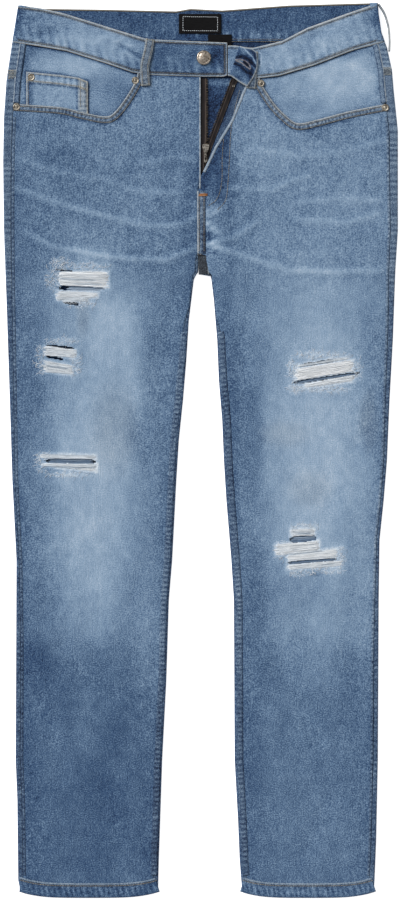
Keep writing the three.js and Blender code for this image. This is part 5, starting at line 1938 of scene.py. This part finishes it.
def weft(strips, seed, depth=0.0):
    """Bare weft across each strip: paths share the strip's slope, wander by two sines, sag
    a little between their ends, and dive under the cloth at both sides."""
    random = np.random.default_rng(seed)
    paths, pale = [], []
    share = np.linspace(0, 1, 13)[None, :]
    for left, right, left_top, left_bottom, right_top, right_bottom, base in strips:
        count = int(max(left_top - left_bottom, right_top - right_bottom) / THREAD_PITCH) + 1
        row = (np.arange(count)[:, None] + 0.5) / count
        start = left - random.uniform(0.0, 4.5, (count, 1))
        stop = right + random.uniform(0.0, 4.5, (count, 1))
        x = start + (stop - start) * share
        u = (x - left) / (right - left)
        y = (left_top + (right_top - left_top) * u) * (1 - row)
        y += (left_bottom + (right_bottom - left_bottom) * u) * row
        phase = random.uniform(0, 6.28, (count, 2))
        y += 0.2 * np.sin(9 * share + phase[:, :1]) + 0.1 * np.sin(23 * share + phase[:, 1:])
        dive = ease(0.04, 0, share) + ease(0.96, 1, share)
        z = leg_top(x, y) + 0.2 - depth + random.uniform(-0.25, 0.25, (count, 1)) - 0.9 * dive
        z += 0.4 * np.sin(np.pi * share) * random.uniform(-0.4, 1, (count, 1))
        paths.append(np.stack([x, y, z], -1))
        pale.append(base + 0.14 * random.uniform(-1, 1, (count, 1)) + parting_shade(x, y))
    return np.concatenate(paths), np.concatenate(pale)


def fray(side, seed):
    """Short curled fibres over each worn place: each bends by a random turn."""
    random = np.random.default_rng(seed)
    paths = []
    share = np.linspace(0, 1, 5)[None, :]
    for leg, cx, cy, rx, ry in FRAYED:
        if leg != side:
            continue
        count = int(0.42 * rx * ry) + 16
        radius = np.sqrt(random.uniform(0, 1, (count, 1)))
        around = random.uniform(0, 6.28, (count, 1))
        x0 = cx + rx * radius * np.cos(around)
        y0 = cy + ry * radius * np.sin(around)
        length = random.uniform(2.0, 6.5, (count, 1))
        heading = random.normal(0, 0.45, (count, 1)) + np.pi * random.integers(0, 2, (count, 1))
        bend = random.normal(0, 0.9, (count, 1))
        angle = heading + bend * share
        x = x0 + length * share * np.cos(angle)
        y = y0 + length * share * np.sin(angle)
        lift = random.uniform(0.1, 0.9, (count, 1)) * np.sin(np.pi * share)
        z = leg_top(x, y) + lift + 0.05
        paths.append(np.stack([x, y, z], -1))
    return np.concatenate(paths)


def loose_threads(side, name):
    """A leg's bare weft, the threads that hang behind its slits, and its fray, with each
    thread a little thicker or thinner."""
    random = np.random.default_rng(301 + side)
    bare = weft(BANDS[side], 303 + side)
    behind = weft(BEHIND[side], 307, 2.2)
    short = fray(side, 305 + side)
    groups = [
        (bare, THREAD, "rip_threads"), (behind, 0.5, "rip_threads_behind"),
        ((short, random.uniform(0.3, 0.95, len(short))), 0.2, "rip_fray"),
    ]
    pieces = []
    for (paths, pale), radius, label in groups:
        thickness = radius * random.uniform(0.75, 1.15, (len(paths), 1))
        pieces.append(tubes(f"{label}_{name}", paths, thickness, WEFT, 4, pale))
    return pieces


threads_left = loose_threads(-1, "left")
threads_right = loose_threads(1, "right")

# ---------------------------------------------------------------------------
# Hardware
# ---------------------------------------------------------------------------

BUTTON_PROFILE = [
    (0, 0), (3.2, 0.1), (3.6, 0.9), (7.6, 1.0), (8.6, 1.3), (8.7, 1.9), (8.2, 2.6),
    (7.2, 2.9), (6.6, 2.75), (4.5, 3.3), (2.2, 3.7), (0, 3.8),
]
RIVET_PROFILE = [
    (0, 0), (4.2, 0.0), (4.4, 0.4), (4.1, 0.95), (3.5, 1.1), (2.6, 0.75), (2.0, 0.8),
    (1.5, 1.45), (0, 1.6),
]


def round_metal(node, profile, steps, material):
    """A turned piece on the middle of its node's foot."""
    low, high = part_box(node)
    centre = ((low.x + high.x) / 2 / MM, (low.y + high.y) / 2 / MM)
    piece = turned(f"{node}_face", profile, centre, low.z / MM, steps, material)
    return stand_in(piece, node)


round_metal("shank_button", BUTTON_PROFILE, 48, NICKEL)
for node in [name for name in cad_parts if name.startswith("rivet_")]:
    round_metal(node, RIVET_PROFILE, 28, COPPER)
for node in ("zip_slider", "zip_pull_tab", "zip_stop"):
    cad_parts[node].data.materials.clear()
    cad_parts[node].data.materials.append(BRASS)

# ---------------------------------------------------------------------------
# Floor, light and camera
# ---------------------------------------------------------------------------

bpy.ops.mesh.primitive_plane_add(size=12, location=(0, 0, -0.0002))
floor = bpy.context.object
floor.name = "floor"
pale = Nodes("pale_floor", 0.9)
pale.shader.inputs["Emission Color"].default_value = (1, 1, 1, 1)
pale.shader.inputs["Emission Strength"].default_value = 0.75
floor.data.materials.append(pale.finish((0.96, 0.96, 0.96, 1)))

key = bpy.data.lights.new("key_light", "SUN")
key.energy = 2.7
key.angle = math.radians(24)
key_lamp = bpy.data.objects.new("key_light", key)
key_lamp.location = (-2, 1.6, 2.3)
key_lamp.rotation_mode = "QUATERNION"
key_lamp.rotation_quaternion = key_lamp.location.to_track_quat("Z", "Y")
bpy.context.scene.collection.objects.link(key_lamp)

world = bpy.data.worlds.new("studio")
world.use_nodes = True
world.node_tree.nodes["Background"].inputs["Color"].default_value = (1, 1, 1, 1)
world.node_tree.nodes["Background"].inputs["Strength"].default_value = 0.42
bpy.context.scene.world = world
bpy.context.scene.view_settings.view_transform = "Standard"

LENS, SENSOR = 120, 36
VIEW_HEIGHT = 1.0824  # metres of the garment's plane from the top to the bottom of the view
camera_data = bpy.data.cameras.new("camera")
camera_data.lens = LENS
camera_data.sensor_width = SENSOR
camera = bpy.data.objects.new("camera", camera_data)
camera.location = (-0.0006, -0.0008, 0.005 + VIEW_HEIGHT * LENS / SENSOR)
bpy.context.scene.collection.objects.link(camera)
bpy.context.scene.camera = camera
